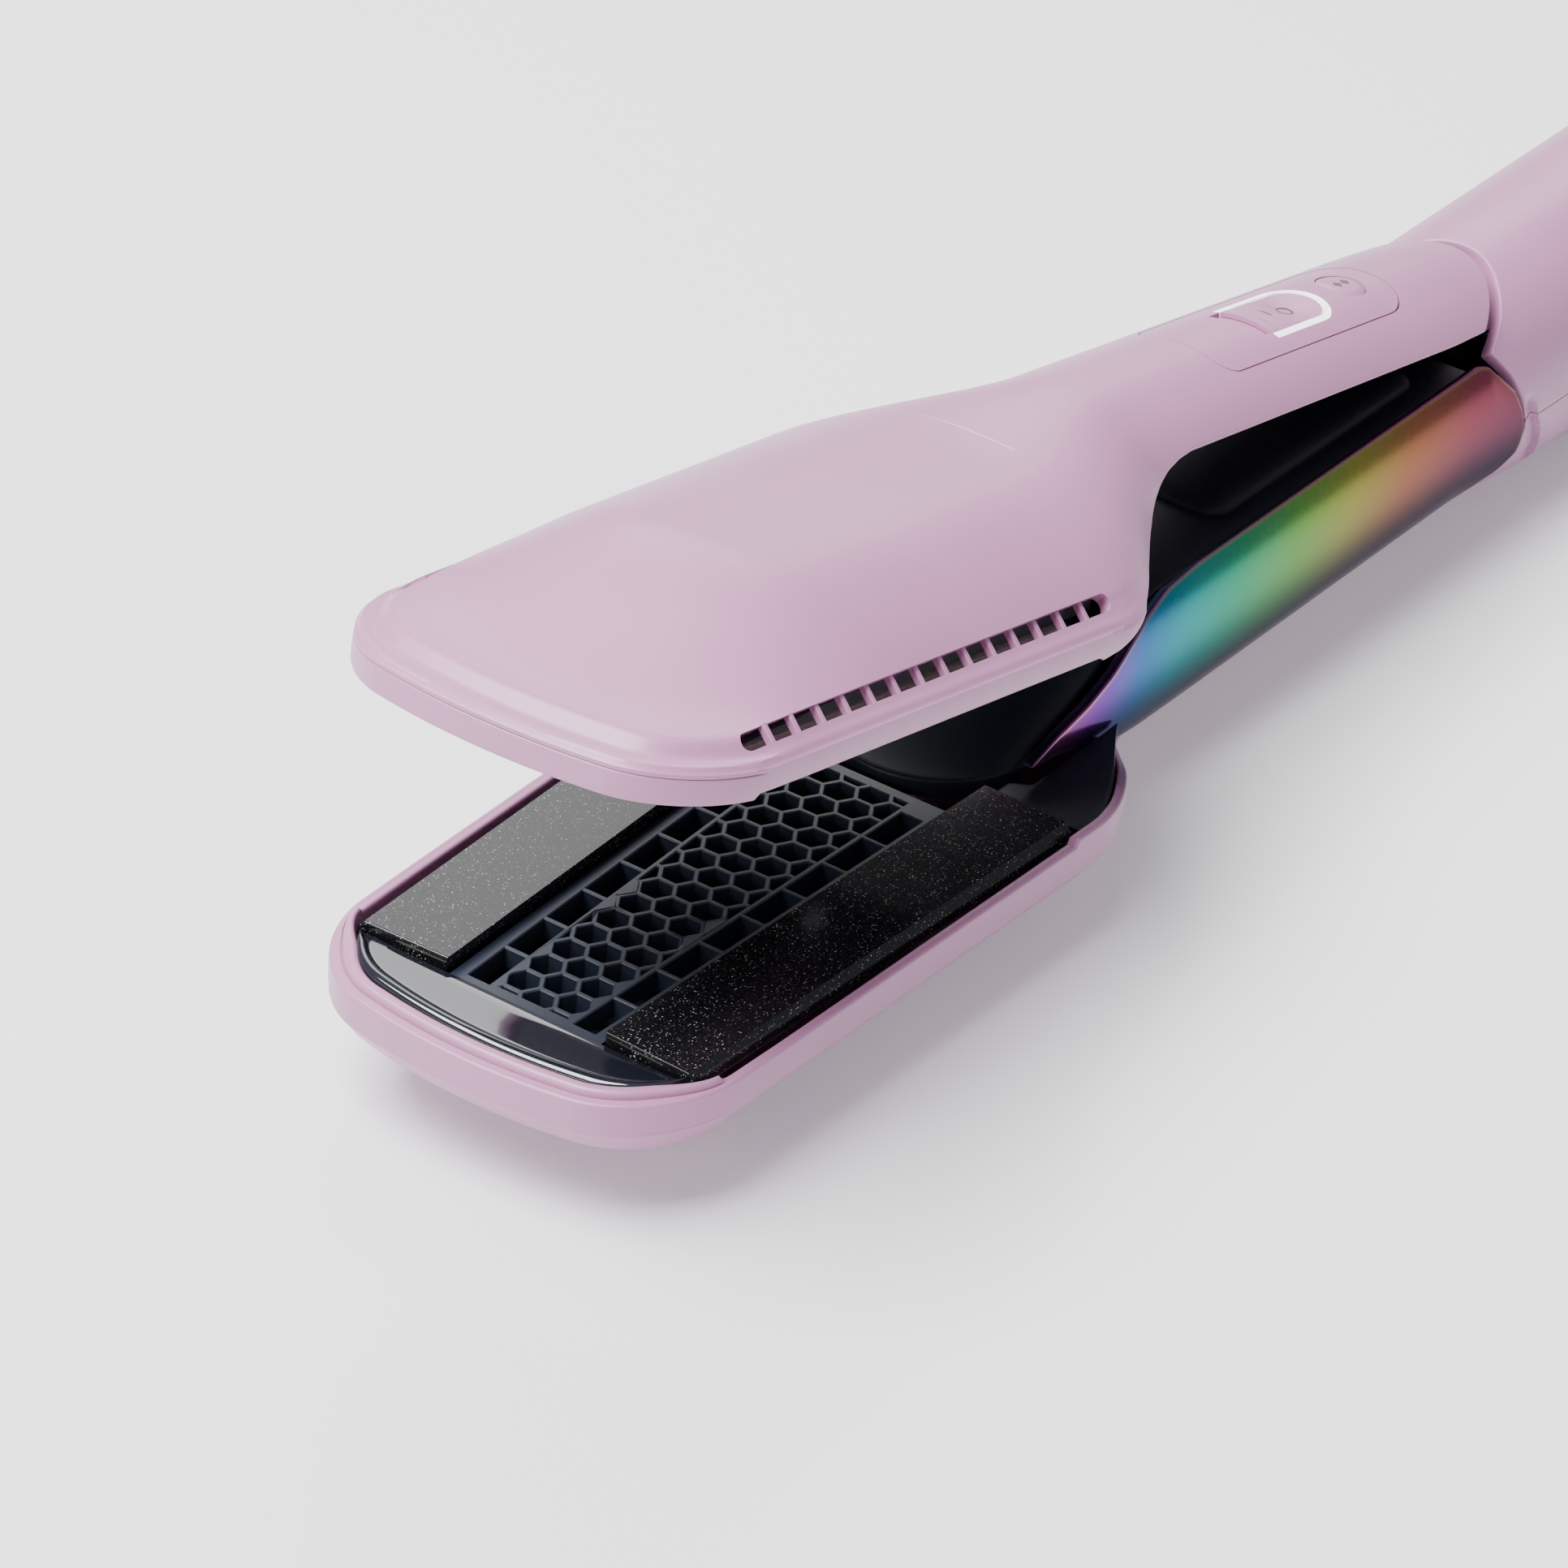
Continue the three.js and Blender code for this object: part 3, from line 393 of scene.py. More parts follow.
def sink_collar(points):
    p = points.copy()
    low = collar_depth(p[:, 0], p[:, 2])
    r = np.hypot(p[:, 1], p[:, 2] - neck_z(p[:, 0]))
    k = 1 - low / np.maximum(r, 1)
    p[:, 1] *= k
    p[:, 2] = neck_z(p[:, 0]) + (p[:, 2] - neck_z(p[:, 0])) * k
    return p


def spread(*spans):
    """Stations behind the fan point: each span is (from, to, steps)."""
    values = [x for a, b, n in spans for x in np.linspace(a, b, n, endpoint=False)]
    return [x for x in values if x > FAN_X + 0.1]


# ---------- materials ----------
class Look:
    """A procedural material. Its patterns are placed by the object's own coordinates."""

    def __init__(self, name):
        self.material = bpy.data.materials.new(name)
        self.material.use_nodes = True
        self.nodes, self.links = self.material.node_tree.nodes, self.material.node_tree.links
        self.shader = self.nodes["Principled BSDF"]
        self.place = self.nodes.new("ShaderNodeTexCoord").outputs["Object"]

    def feed(self, node, inputs):
        """Each input is a number, a colour or another node's output."""
        for socket, value in inputs.items():
            if isinstance(value, bpy.types.NodeSocket):
                self.links.new(value, node.inputs[socket])
            else:
                node.inputs[socket].default_value = value

    def node(self, kind, inputs):
        made = self.nodes.new("ShaderNode" + kind)
        self.feed(made, inputs)
        return made

    def noise(self, scale, detail=3.0, rough=0.5):
        return self.node("TexNoise", {"Vector": self.place, "Scale": scale, "Detail": detail,
                                      "Roughness": rough}).outputs["Fac"]

    def ramp(self, factor, stops):
        node = self.node("ValToRGB", {"Fac": factor})
        marks = node.color_ramp.elements
        while len(marks) < len(stops):
            marks.new(0.5)
        for mark, (position, colour) in zip(marks, stops):
            mark.position = position
            mark.color = (*colour, 1)
        return node.outputs["Color"]

    def cloudy(self, scale, dark, light, detail=3.0):
        return self.ramp(self.noise(scale, detail), [(0.3, dark), (0.7, light)])

    def fit(self, value, low, high, out_low, out_high):
        return self.node("MapRange", {"Value": value, "From Min": low, "From Max": high, "To Min": out_low,
                                      "To Max": out_high}).outputs["Result"]

    def math(self, operation, a, b):
        node = self.node("Math", {0: a, 1: b})
        node.operation = operation
        return node.outputs["Value"]

    def blend(self, factor, a, b):
        node = self.nodes.new("ShaderNodeMix")
        node.data_type = "RGBA"
        self.feed(node, {"Factor": factor, "A": a, "B": b})
        return node.outputs["Result"]

    def bump(self, height, strength, distance):
        inputs = {"Height": height, "Strength": strength, "Distance": distance}
        return self.node("Bump", inputs).outputs["Normal"]

    def made(self, inputs):
        self.feed(self.shader, inputs)
        return self.material


def moulded(name, dark, light, rough, grain=2600, grain_depth=0.00002, coat=0.0, coat_rough=0.2, specular=0.5,
            metallic=0.0):
    """Moulded plastic or coated metal: faint cloudy colour, fine grain in bump and roughness."""
    look = Look(name)
    fine = look.noise(grain, 4, 0.6)
    return look.made({
        "Base Color": look.cloudy(38, dark, light), "Roughness": look.fit(fine, 0.3, 0.7, *rough),
        "Normal": look.bump(fine, 0.35, grain_depth), "Metallic": metallic, "Specular IOR Level": specular,
        "Coat Weight": coat, "Coat Roughness": coat_rough})


def plate_coating():
    """Black glossy coating with fine flecks of uneven brightness."""
    look = Look("plate_coating")
    cells = look.node("TexVoronoi", {"Vector": look.place, "Scale": 3300})
    chance = look.node("SeparateColor", {"Color": cells.outputs["Color"]}).outputs["Red"]
    near = look.fit(cells.outputs["Distance"], 0.2, 0.46, 1.0, 0.0)
    fleck = look.math("MULTIPLY", near, look.math("POWER", chance, 2.6))
    return look.made({
        "Base Color": look.ramp(fleck, [(0.0, (0.007, 0.007, 0.008)), (0.3, (0.035, 0.035, 0.037)),
                                        (0.6, (0.16, 0.16, 0.16)), (1.0, (0.7, 0.69, 0.68))]),
        "Roughness": look.fit(fleck, 0, 1, 0.13, 0.4), "Normal": look.bump(fleck, 0.25, 0.00002),
        "Specular IOR Level": 0.3, "Coat Weight": 0.2, "Coat Roughness": 0.1})


def iridescent_lens():
    """Mirror-like lens: colour runs along the panel, turns dark towards its foot as painted shade, and flips
    at its rim.
    """
    look = Look("iridescent_lens")
    axes = look.node("SeparateXYZ", {"Vector": look.place})
    run = look.fit(axes.outputs["X"], -0.060, 0.072, 0.0, 1.0)
    lean = look.fit(axes.outputs["Z"], 0.010, 0.033, 0.055, -0.055)
    drift = look.fit(look.noise(14, 1), 0.3, 0.7, -0.02, 0.02)
    body = look.ramp(look.math("ADD", look.math("ADD", run, lean), drift), [
        (0.0, (0.14, 0.27, 0.25)), (0.04, (0.34, 0.06, 0.30)), (0.11, (0.20, 0.06, 0.39)),
        (0.18, (0.045, 0.17, 0.38)), (0.26, (0.02, 0.29, 0.29)), (0.36, (0.035, 0.33, 0.17)),
        (0.48, (0.13, 0.33, 0.07)), (0.60, (0.27, 0.26, 0.05)), (0.72, (0.32, 0.12, 0.055)),
        (0.86, (0.25, 0.055, 0.075)), (1.0, (0.17, 0.04, 0.07))])
    # painted shade: darker colours blended in by height towards the panel's lower edge (mask `down`)
    foot = look.ramp(run, [(0.0, (0.06, 0.02, 0.09)), (0.25, (0.03, 0.035, 0.09)), (0.5, (0.025, 0.06, 0.065)),
                           (0.75, (0.04, 0.05, 0.045)), (1.0, (0.05, 0.03, 0.045))])
    down = look.fit(axes.outputs["Z"], 0.012, 0.028, 1.0, 0.0)
    inset = look.nodes.new("ShaderNodeAttribute")
    inset.attribute_name = "rim"
    rim = look.ramp(inset.outputs["Fac"], [(0.0, (0.04, 0.02, 0.06)), (0.3, (0.4, 0.05, 0.3)),
                                           (0.6, (0.42, 0.34, 0.04)), (1.0, (0.04, 0.3, 0.26))])
    at_rim = look.fit(inset.outputs["Fac"], 0.35, 1.0, 0.8, 0.0)
    return look.made({
        "Base Color": look.blend(at_rim, look.blend(down, body, foot), rim),
        "Roughness": look.fit(look.noise(900, 2), 0.3, 0.7, 0.17, 0.23), "Metallic": 0.9,
        "Specular Tint": (0.42, 0.42, 0.47, 1), "Coat Weight": 0.1, "Coat Roughness": 0.1})


def glowing(name, scale, dark, light, strength, rough):
    look = Look(name)
    colour = look.cloudy(scale, dark, light, 2)
    return look.made({"Base Color": colour, "Emission Color": colour, "Emission Strength": strength,
                      "Roughness": rough})


PINK = moulded("satin_pink", (0.44, 0.195, 0.345), (0.465, 0.21, 0.37), (0.34, 0.44), coat=0.22,
               coat_rough=0.25)
SLATE = moulded("slate_plastic", (0.007, 0.009, 0.016), (0.011, 0.014, 0.023), (0.38, 0.5), 3400, 0.00003,
                specular=0.35)
GRILLE = moulded("grille_plastic", (0.018, 0.024, 0.040), (0.026, 0.033, 0.052), (0.3, 0.42), 3400, 0.00003,
                 specular=0.45)
GLOSS = moulded("black_gloss", (0.006, 0.007, 0.012), (0.01, 0.011, 0.018), (0.06, 0.09), 900, 0.000004,
                coat=0.7, coat_rough=0.04, specular=0.9)
STEEL = moulded("plated_steel", (0.45, 0.46, 0.48), (0.58, 0.59, 0.61), (0.25, 0.4), 1500, metallic=1.0)
HEATER = moulded("heater_ceramic", (0.62, 0.58, 0.5), (0.72, 0.68, 0.6), (0.65, 0.8), 1800, 0.00005)
RUBBER = moulded("soft_rubber", (0.014, 0.014, 0.016), (0.022, 0.022, 0.025), (0.68, 0.82), 2200, 0.00004)
BOARD = moulded("green_board", (0.012, 0.09, 0.035), (0.02, 0.13, 0.05), (0.35, 0.5), 700)
MARK = moulded("soft_mark", (0.12, 0.06, 0.1), (0.16, 0.08, 0.13), (0.4, 0.5))
PLATE = plate_coating()
LENS = iridescent_lens()
LIGHT = glowing("light_guide", 120, (0.86, 0.87, 0.93), (0.97, 0.97, 1.0), 1.6, 0.3)

# ---------- shells of the two arms ----------
UPPER_SAMPLES = [0.55, 1.0, 1.6, 2.2, 2.8, 3.2, 3.42, 3.5, 3.56, 3.62, 3.68, 3.76, 3.9, 4.1, 4.35, 4.6, 4.9,
                 5.2, 5.6, 6.0, 6.4, 6.8, 7.2, 7.6, 8.0, 8.5, 9.0, 9.6, 10.3, 11.2, 12.4, 14.0]
LOWER_SAMPLES = [0.8, 1.4, 2.2, 3.0, 3.8, 4.6, 5.0, 5.15, 5.25, 5.33, 5.42, 5.6, 5.8, 6.1, 6.5, 6.9, 7.4, 7.9,
                 8.4, 8.9, 9.4, 10.0, 10.7, 11.6, 12.8, 14.4]
ARM_LAST = 212.0
ROUND = [(0.3, 0.0), (0.16, 0.05), (0.06, 0.16), (0.0, 0.34)]


def plain_rim(x, lean):
    inset = WALL + 2 * (1 - smooth(-8, 1, x))
    rows = [(inset, 3.0), (inset, 0.35), (inset - 0.1, 0.1), (inset - 0.35, 0.0)] + ROUND
    return np.array([[a / lean, b] for a, b in rows], float)


def stepped_rim(x, lean):
    """An inner lip stands over a fine groove at the tip; elsewhere the rim is level."""
    front = 1 - float(smooth(-8, 1, x))
    inset = WALL + 2 * front
    lift = np.clip((along(LOWER_EDGE, min(x, 10)) + 1.1) / 0.9, 0, 1)
    low = 0.92 * lift
    soft = mix(1.0, 0.2, float(smooth(212, 217, x)))
    round_off = 0.45 * soft
    rows = [(1.0, 3.2), (1.0, 0.95), (0.975, 0.55), (0.92, 0.24), (0.83, 0.05), (0.74, 0.0), (0.63, 0.02),
            (0.56, 0.12 * lift), (0.5, 0.36 * lift), (0.46, 0.66 * lift), (0.44, low + 0.22 * lift),
            (0.40, low + 0.26 * lift), (0.385, low + 0.03), (0.36, low)]
    points = [[a * inset / lean, b if i > 6 else b * soft] for i, (a, b) in enumerate(rows)]
    points += [[a * round_off / lean, low + b * round_off]
               for a, b in ((1.05, 0.0), (0.7, 0.06), (0.4, 0.2), (0.15, 0.48), (0.03, 0.8), (0.0, 1.1))]
    return np.array(points, float)


arm_stations = spread((ARM_LAST, ARM_LAST - 0.3, 3), (ARM_LAST - 0.3, 190, 16), (190, 124.5, 30),
                      (124.5, 90.5, 36), (90.5, 89.5, 12), (89.5, 84, 6), (84, 78, 8), (78, 76, 10),
                      (76, 3, 62))
arm_ribs = shell_ribs(arm_stations, True, UPPER_SAMPLES, plain_rim, (3.8, 0.2), ARM_LAST)
upper_shell = loft("paddle_shell_upper", arm_ribs, closed=False, upper=True)

base_stations = spread((BARREL_END, BARREL_END - 0.3, 3), (BARREL_END - 0.3, 229, 22), (229, 219, 34),
                       (219, 215, 34), (215, 204, 14), (204, 130, 34), (130, 86, 46), (86, 78, 8),
                       (78, 76, 14), (76, FAN_X, 54))
base_ribs = shell_ribs(base_stations, False, LOWER_SAMPLES, stepped_rim, (-5.4, 0.06), BARREL_END)
lower_shell = loft("paddle_shell_lower", base_ribs, closed=False)
install(lower_shell, PINK, "body", "pink_shell", "lower_shell")


def prism(name, outline, low, high, origin=(0, 0, 0), u_axis=(1, 0, 0), v_axis=(0, 1, 0),
          depth_axis=(0, 0, 1), upper=True):
    """Straight prism: outline points (u, v) on two axes, from low to high along the third."""
    origin, u_axis, v_axis, depth_axis = (np.array(v, float) for v in (origin, u_axis, v_axis, depth_axis))
    rings = [[origin + u * u_axis + v * v_axis + level * depth_axis for u, v in outline]
             for level in (low, high)]
    return solids(name, [rings], upper)


def stadium(x0, x1, half, steps=10):
    arc = [math.pi * i / steps for i in range(steps + 1)]
    right = [(x1 - half + half * math.sin(a), -half * math.cos(a)) for a in arc]
    left = [(x0 + half - half * math.sin(a), half * math.cos(a)) for a in arc]
    return right + left


# side vents: a slot along each shoulder, and the row of ribs that crosses it
SLOT_WIDTH = 2.5
RIB_HALF, RIB_REACH = 0.42, 1.4
SLOT_Y, SLOT_Z = 27.5, 7.3
SLOT_LEAN = math.radians(45)
for side, name in ((-1, "near"), (1, "far")):
    u_axis = np.array([1, side * 0.027, 0])
    v_axis = np.array([0, -side * math.cos(SLOT_LEAN), math.sin(SLOT_LEAN)])
    depth = np.array([0, side * math.sin(SLOT_LEAN), math.cos(SLOT_LEAN)])
    origin = np.array([0, side * SLOT_Y, SLOT_Z])
    slot = stadium(SLOT_FRONT, SLOT_REAR, SLOT_WIDTH / 2)
    boolean(upper_shell, prism("slot_cutter", slot, -3.2, 3, origin, u_axis, v_axis, depth))
    ribs = []
    for i in range(1, WINDOWS):
        x = SLOT_FRONT + i * (SLOT_REAR - SLOT_FRONT) / WINDOWS
        ribs.append([[origin + (x + a * (RIB_HALF - slope)) * u_axis + b * RIB_REACH * v_axis + level * depth
                      for a, b in ((-1, -1), (1, -1), (1, 1), (-1, 1))]
                     for level, slope in ((-1.6, 0), (-0.72, 0), (-0.6, 0.12))])
    install(solids(f"vent_ribs_{name}", ribs, upper=True), PINK, "upper_arm", "pink_shell")

# ---------- control panel, light ring, slide switch and button ----------
SWITCH_X = 173.0
SWITCH_FRONT = 159.8
RING_OUTER, RING_INNER = 5.6, 4.55
TRAVEL = 3.2
BUTTON_X, BUTTON_RADIUS = 186.4, 3.65
PANEL_FRONT, PANEL_REAR, PANEL_HALF = 142.1, 194.4, 8.15
PANEL_CORNERS = (6.4, 3.6, 3.6, 6.4)


def rounded_rect(x0, x1, half, radii, steps=8):
    """Corner radii in order: rear far, front far, front near, rear near."""
    a, b, c, d = radii
    points = []
    for radius, cx, cy, quarter in ((a, x1 - a, half - a, 0), (b, x0 + b, half - b, 1),
                                    (c, x0 + c, c - half, 2), (d, x1 - d, d - half, 3)):
        for i in range(steps + 1):
            turn = (quarter + i / steps) * math.pi / 2
            points.append((cx + radius * math.cos(turn), cy + radius * math.sin(turn)))
    return points


def open_stadium(x0, half, steps=16):
    arc = [(SWITCH_X + half * math.cos(a), half * math.sin(a))
           for a in np.linspace(-math.pi / 2, math.pi / 2, steps + 1)]
    return [(x0, -half), *arc, (x0, half)]


def circle(x, radius):
    angles = np.linspace(0, 2 * math.pi, 48, endpoint=False)
    return [(x + radius * math.cos(a), radius * math.sin(a)) for a in angles]


def neck_patch(name, x0, x1, half, top, bottom, step=0.6):
    """Block of the neck's own curvature. `top` and `bottom` are heights over its skin: numbers, or functions
    of x and y."""
    xs = np.linspace(x0, x1, max(2, int((x1 - x0) / step)))
    ys = np.linspace(-half, half, max(2, int(2 * half / step)))
    gx, gy = np.meshgrid(xs, ys, indexing="ij")
    grids = []
    for height in (top, bottom):
        r = neck_radius(gx) + (height(gx, gy) if callable(height) else height)
        grids.append(np.stack([gx, gy, neck_z(gx) + np.sqrt(r * r - gy * gy)], -1))
    return slab(name, *grids, upper=True)


def cut_down(piece, outline, operation="DIFFERENCE"):
    """Cuts along an outline, straight down through the top of the neck."""
    boolean(piece, prism("cutter", outline, 12, 30), operation)


GAP_WIDTH = 0.22
cut_down(upper_shell, rounded_rect(PANEL_FRONT - GAP_WIDTH, PANEL_REAR + GAP_WIDTH, PANEL_HALF + GAP_WIDTH,
                                   [r + GAP_WIDTH for r in PANEL_CORNERS]))
install(upper_shell, PINK, "upper_arm", "pink_shell", "upper_shell")

panel = neck_patch("control_face", PANEL_FRONT - 1, PANEL_REAR + 1, PANEL_HALF + 1, -0.03, -1.5)
cut_down(panel, rounded_rect(PANEL_FRONT, PANEL_REAR, PANEL_HALF, PANEL_CORNERS), "INTERSECT")
# room for the light ring, the switch's travel and the button
cut_down(panel, open_stadium(SWITCH_FRONT, RING_OUTER + 0.05))
half = RING_INNER - 0.2
cut_down(panel, [(SWITCH_FRONT - TRAVEL, -half), (SWITCH_FRONT + 1, -half), (SWITCH_FRONT + 1, half),
                 (SWITCH_FRONT - TRAVEL, half)])
cut_down(panel, circle(BUTTON_X, BUTTON_RADIUS + 0.16))
install(panel, PINK, "upper_arm", "pink_shell", "control_panel")

ring = neck_patch("ring_light", SWITCH_FRONT - 1, SWITCH_X + 8, 8, -0.05, -1.2)
cut_down(ring, open_stadium(SWITCH_FRONT + 0.1, RING_OUTER), "INTERSECT")
cut_down(ring, open_stadium(SWITCH_FRONT - 3, RING_INNER))
install(ring, LIGHT, "upper_arm", "light_guide", "light_ring")


# shallow floor of the slide switch's track, under the switch's thin front part
half = RING_INNER + 0.3
track = neck_patch("switch_track", SWITCH_FRONT - TRAVEL - 0.6, SWITCH_FRONT + 3, half, -0.72, -1.4)
install(track, PINK, "upper_arm", "pink_shell")
# deeper floor under its thick rear part
well = neck_patch("switch_well", SWITCH_FRONT + 3.6, SWITCH_X + RING_INNER + 0.6, half, -2.35, -2.6)
install(well, PINK, "upper_arm", "pink_shell")


def switch_top(x, y):
    """A thumb dish, and a small lip along the front."""
    dish = 1.1 * smooth(0, 1, 1 - np.hypot((x - 171.2) / 7.6, y / 5.6))
    return -0.1 - dish + 0.12 * (1 - smooth(161.2, 162.2, x))


def switch_floor(x, y):
    """Thin in front, where it slides over the track's floor, and thick behind."""
    return -0.62 - 1.5 * smooth(166.4, 167.4, x)


switch = neck_patch("switch_pad", SWITCH_FRONT - 0.5, SWITCH_X + 6, 6, switch_top, switch_floor, 0.4)
cut_down(switch, open_stadium(SWITCH_FRONT, RING_INNER - 0.32), "INTERSECT")
install(switch, PINK, "switch", "pink_shell", "slide_switch")


def neck_relief(name, x, radius_in, radius_out, lift, height, squeeze=1.0, sides=36):
    """Raised ring or disc mark on the neck's middle line that follows its curvature."""
    shoulder = lift + height * 0.6
    profile = [(0, lift - 0.3), (0, shoulder), (0.3, lift + height), (0.7, lift + height), (1, shoulder),
               (1, lift - 0.3)]
    rows = []
    for i in range(sides):
        a = 2 * math.pi * i / sides
        row = []
        for share, out in profile:
            radius = mix(radius_in, radius_out, share)
            px, py = x + radius * squeeze * math.cos(a), radius * math.sin(a)
            r = float(neck_radius(px)) + out
            row.append((px, py, float(neck_z(px)) + math.sqrt(r * r - py * py)))
        rows.append(row)
    return loft(name, rows, looped=True, upper=True, weld=False, fill=False)


install(neck_relief("switch_mark_ring", 170.8, 1.0, 1.35, -1.12, 0.12), MARK, "switch", "pink_shell")
install(neck_relief("switch_mark_bar", 165.2, 0.02, 1.2, -0.25, 0.12, 0.22), MARK, "switch", "pink_shell")


def button_top(x, y):
    return 0.1 - 0.3 * smooth(2.9, 3.65, np.hypot(x - BUTTON_X, y))


button = neck_patch("button_cap", BUTTON_X - 5, BUTTON_X + 5, 5, button_top, -1.4, 0.4)
cut_down(button, circle(BUTTON_X, BUTTON_RADIUS), "INTERSECT")
install(button, PINK, "button", "pink_shell", "mode_button")
for i, dx in enumerate((-1.05, 0.95)):
    arrow = neck_relief(f"button_mark_{i + 1}", BUTTON_X + dx, 0.02, 0.85, 0.13, 0.06, 0.9, sides=4)
    install(arrow, MARK, "button", "pink_shell")

# ---------- barrel's upper shell ----------
SEAM_Z = 0.04
# slanted front of the barrel's upper shell as (height, x)
BARREL_FRONT = [(SEAM_Z, 216.9), (4.0, 215.3), (8.4, 213.3), (11.2, 211.3), (12.7, 210.1), (14.9, 215.6),
                (17.8, 221.3), (19.5, 224.9), (21.0, 227.2)]
# round edge along the barrel's front: distance from the front, depth below the skin
BAND = np.array([(0.0, 1.3), (0.02, 0.9), (0.05, 0.55), (0.13, 0.28), (0.26, 0.1), (0.42, 0.02), (0.6, 0.0)])
# sleeve that closes the gap between the arm's end and the barrel, in the same measures
SLEEVE = np.array([(-3.3, 2.55), (-3.1, 2.4), (3, 2.4), (3, 3.2), (-3.3, 3.2)])
SLEEVE_FROM, SLEEVE_TO = math.radians(47), math.radians(133)


def barrel_front(z):
    """X of the barrel's slanted front at a height."""
    return along(BARREL_FRONT, z)


def seam_angle(x):
    """Angle at which the barrel's upper shell meets the lower one."""
    return np.arcsin((SEAM_Z - neck_z(x)) / neck_radius(x))


def barrel_loop(share, depress):
    """Closed loop along X: outer face, rear edge, inner face, front edge. `share` runs from seam to seam."""
    def angle_at(x):
        return mix(seam_angle(x), math.pi - seam_angle(x), share)

    x = 215.0
    for _ in range(10):
        x = barrel_front(neck_z(x) + neck_radius(x) * np.sin(angle_at(x)))
    run = np.linspace(0, 1, 56)[1:] ** 1.4
    outer_x = np.concatenate([x + BAND[:, 0], x + 0.8 + run * (BARREL_END - 0.3 - x - 0.8),
                              BARREL_END - np.array([0.14, 0.04, 0.0])])
    drop = np.zeros(len(outer_x))
    drop[:len(BAND)] = BAND[:, 1]
    drop[-3:] = (0.05, 0.14, 0.3)
    inner_x = np.array([BARREL_END, 262, 245, 232, x + 6, x + 1.5, x])
    loop_x = np.concatenate([outer_x, inner_x])
    angle = angle_at(loop_x)
    z = neck_z(loop_x) + neck_radius(loop_x) * np.sin(angle)
    drop = np.maximum(drop, np.minimum(collar_depth(loop_x, z)[:len(drop)], 1.3))
    inward = np.concatenate([drop, [WALL] * 5, [WALL + 0.35] * 2]) + depress
    r = neck_radius(loop_x) - inward
    return np.stack([loop_x, r * np.cos(angle), neck_z(loop_x) + r * np.sin(angle)], 1)


shares = np.concatenate([[0, 0.0006, 0.0022], np.linspace(0.012, 0.5, 44)])
shares = np.concatenate([shares, 1 - shares[::-1][1:]])
dips = [0.1, 0.03, 0] + [0] * (len(shares) - 6) + [0, 0.03, 0.1]
barrel = loft("barrel_cover", [barrel_loop(share, dip) for share, dip in zip(shares, dips)])
install(barrel, PINK, "body", "pink_shell", "barrel_upper_shell")

rows = []
for a in np.linspace(SLEEVE_FROM, SLEEVE_TO, 60):
    xs = barrel_front(float(neck_z(218)) + 19 * math.sin(a)) + SLEEVE[:, 0]
    r = neck_radius(xs) - SLEEVE[:, 1]
    rows.append(np.stack([xs, r * math.cos(a), neck_z(xs) + r * math.sin(a)], 1))
install(loft("barrel_sleeve", rows), PINK, "body", "pink_shell")

# ---------- shining side panels ----------
LENS_FRONT, LENS_REAR = PANEL_TOP[0][0], PANEL_TOP[-1][0]
LENS_STEPS = np.array([0, 0.04, 0.1, 0.2, 0.35, 0.6, 0.9, 1.4, 2.0, 2.8, 3.8, 5.0])
LENS_LIP = np.array([0.0, 0.07, 0.18, 0.36, 0.6, 0.95])
LENS_LIFT, LENS_DEPTH, LENS_ROUND = 0.28, 1.5, 0.36


def side_lens(name, side):
    """Sheet with a round edge. Its "rim" value grows from 0 at the edge to 1 further in."""
    outer, inner, rim = [], [], []
    for x in np.unique(np.concatenate([LENS_FRONT + LENS_STEPS, np.linspace(92.5, 208, 90),
                                       LENS_REAR - LENS_STEPS * 0.75])):
        r, zc = float(neck_radius(x)) + LENS_LIFT, float(neck_z(x))
        a0, a1 = (math.asin((along(line, x) - zc) / r) for line in (PANEL_LOW, PANEL_TOP))
        length = (a1 - a0) * r
        s = LENS_LIP * min(1.0, length / 4)
        s = np.concatenate([s, np.linspace(s[-1], length - s[-1], 26)[1:-1], length - s[::-1]])
        distance = np.minimum(np.minimum(s, length - s), min(x - LENS_FRONT, LENS_REAR - x))
        depth = edge_drop(distance, LENS_ROUND)
        angle = a0 + s / r
        for store, radius in ((outer, r - depth), (inner, r - LENS_DEPTH)):
            store.append(np.stack([np.full(len(s), x), side * radius * np.cos(angle),
                                   zc + radius * np.sin(angle)], 1))
        rim.append(np.clip(distance / 0.9, 0, 1))
    lens = slab(name, outer, inner, angle=50)
    values = np.concatenate([np.ravel(rim), np.zeros(np.size(rim))]).astype(np.float32)
    lens.data.attributes.new("rim", "FLOAT", "POINT").data.foreach_set("value", values)
    return lens


for side, name in ((-1, "near"), (1, "far")):
    install(side_lens(f"lens_{name}", side), LENS, "body", "iridescent_panel", f"side_panel_{name}")

# ---------- inner cover of the lower neck ----------
ARC_RADIUS, ARC_X = 15.6, 90.8
COVER_REAR = 205.0
COVER_HALF = 15.5              # at the front; it narrows to the rear
COVER_DEPTH, COVER_EDGE = 2.2, 0.5


def cover_height(x, y):
    """A ramp behind the plates, with a slight crown that fades into the ledge."""
    front = ARC_X - np.sqrt(np.maximum(ARC_RADIUS ** 2 - np.minimum(np.abs(y), ARC_RADIUS) ** 2, 0))
    t = np.clip((x - front) / (126 - front), 0, 1)
    rise = 0.62 * np.sin(t * math.pi / 2) ** 1.25 + 0.38 * smooth(0, 1, t)
    crown = 0.7 * (1 - (np.abs(y) / ARC_RADIUS) ** 2) * smooth(0.02, 0.5, t)
    return -1.35 + 12.6 * rise + crown * (1 - smooth(112, 140, x))


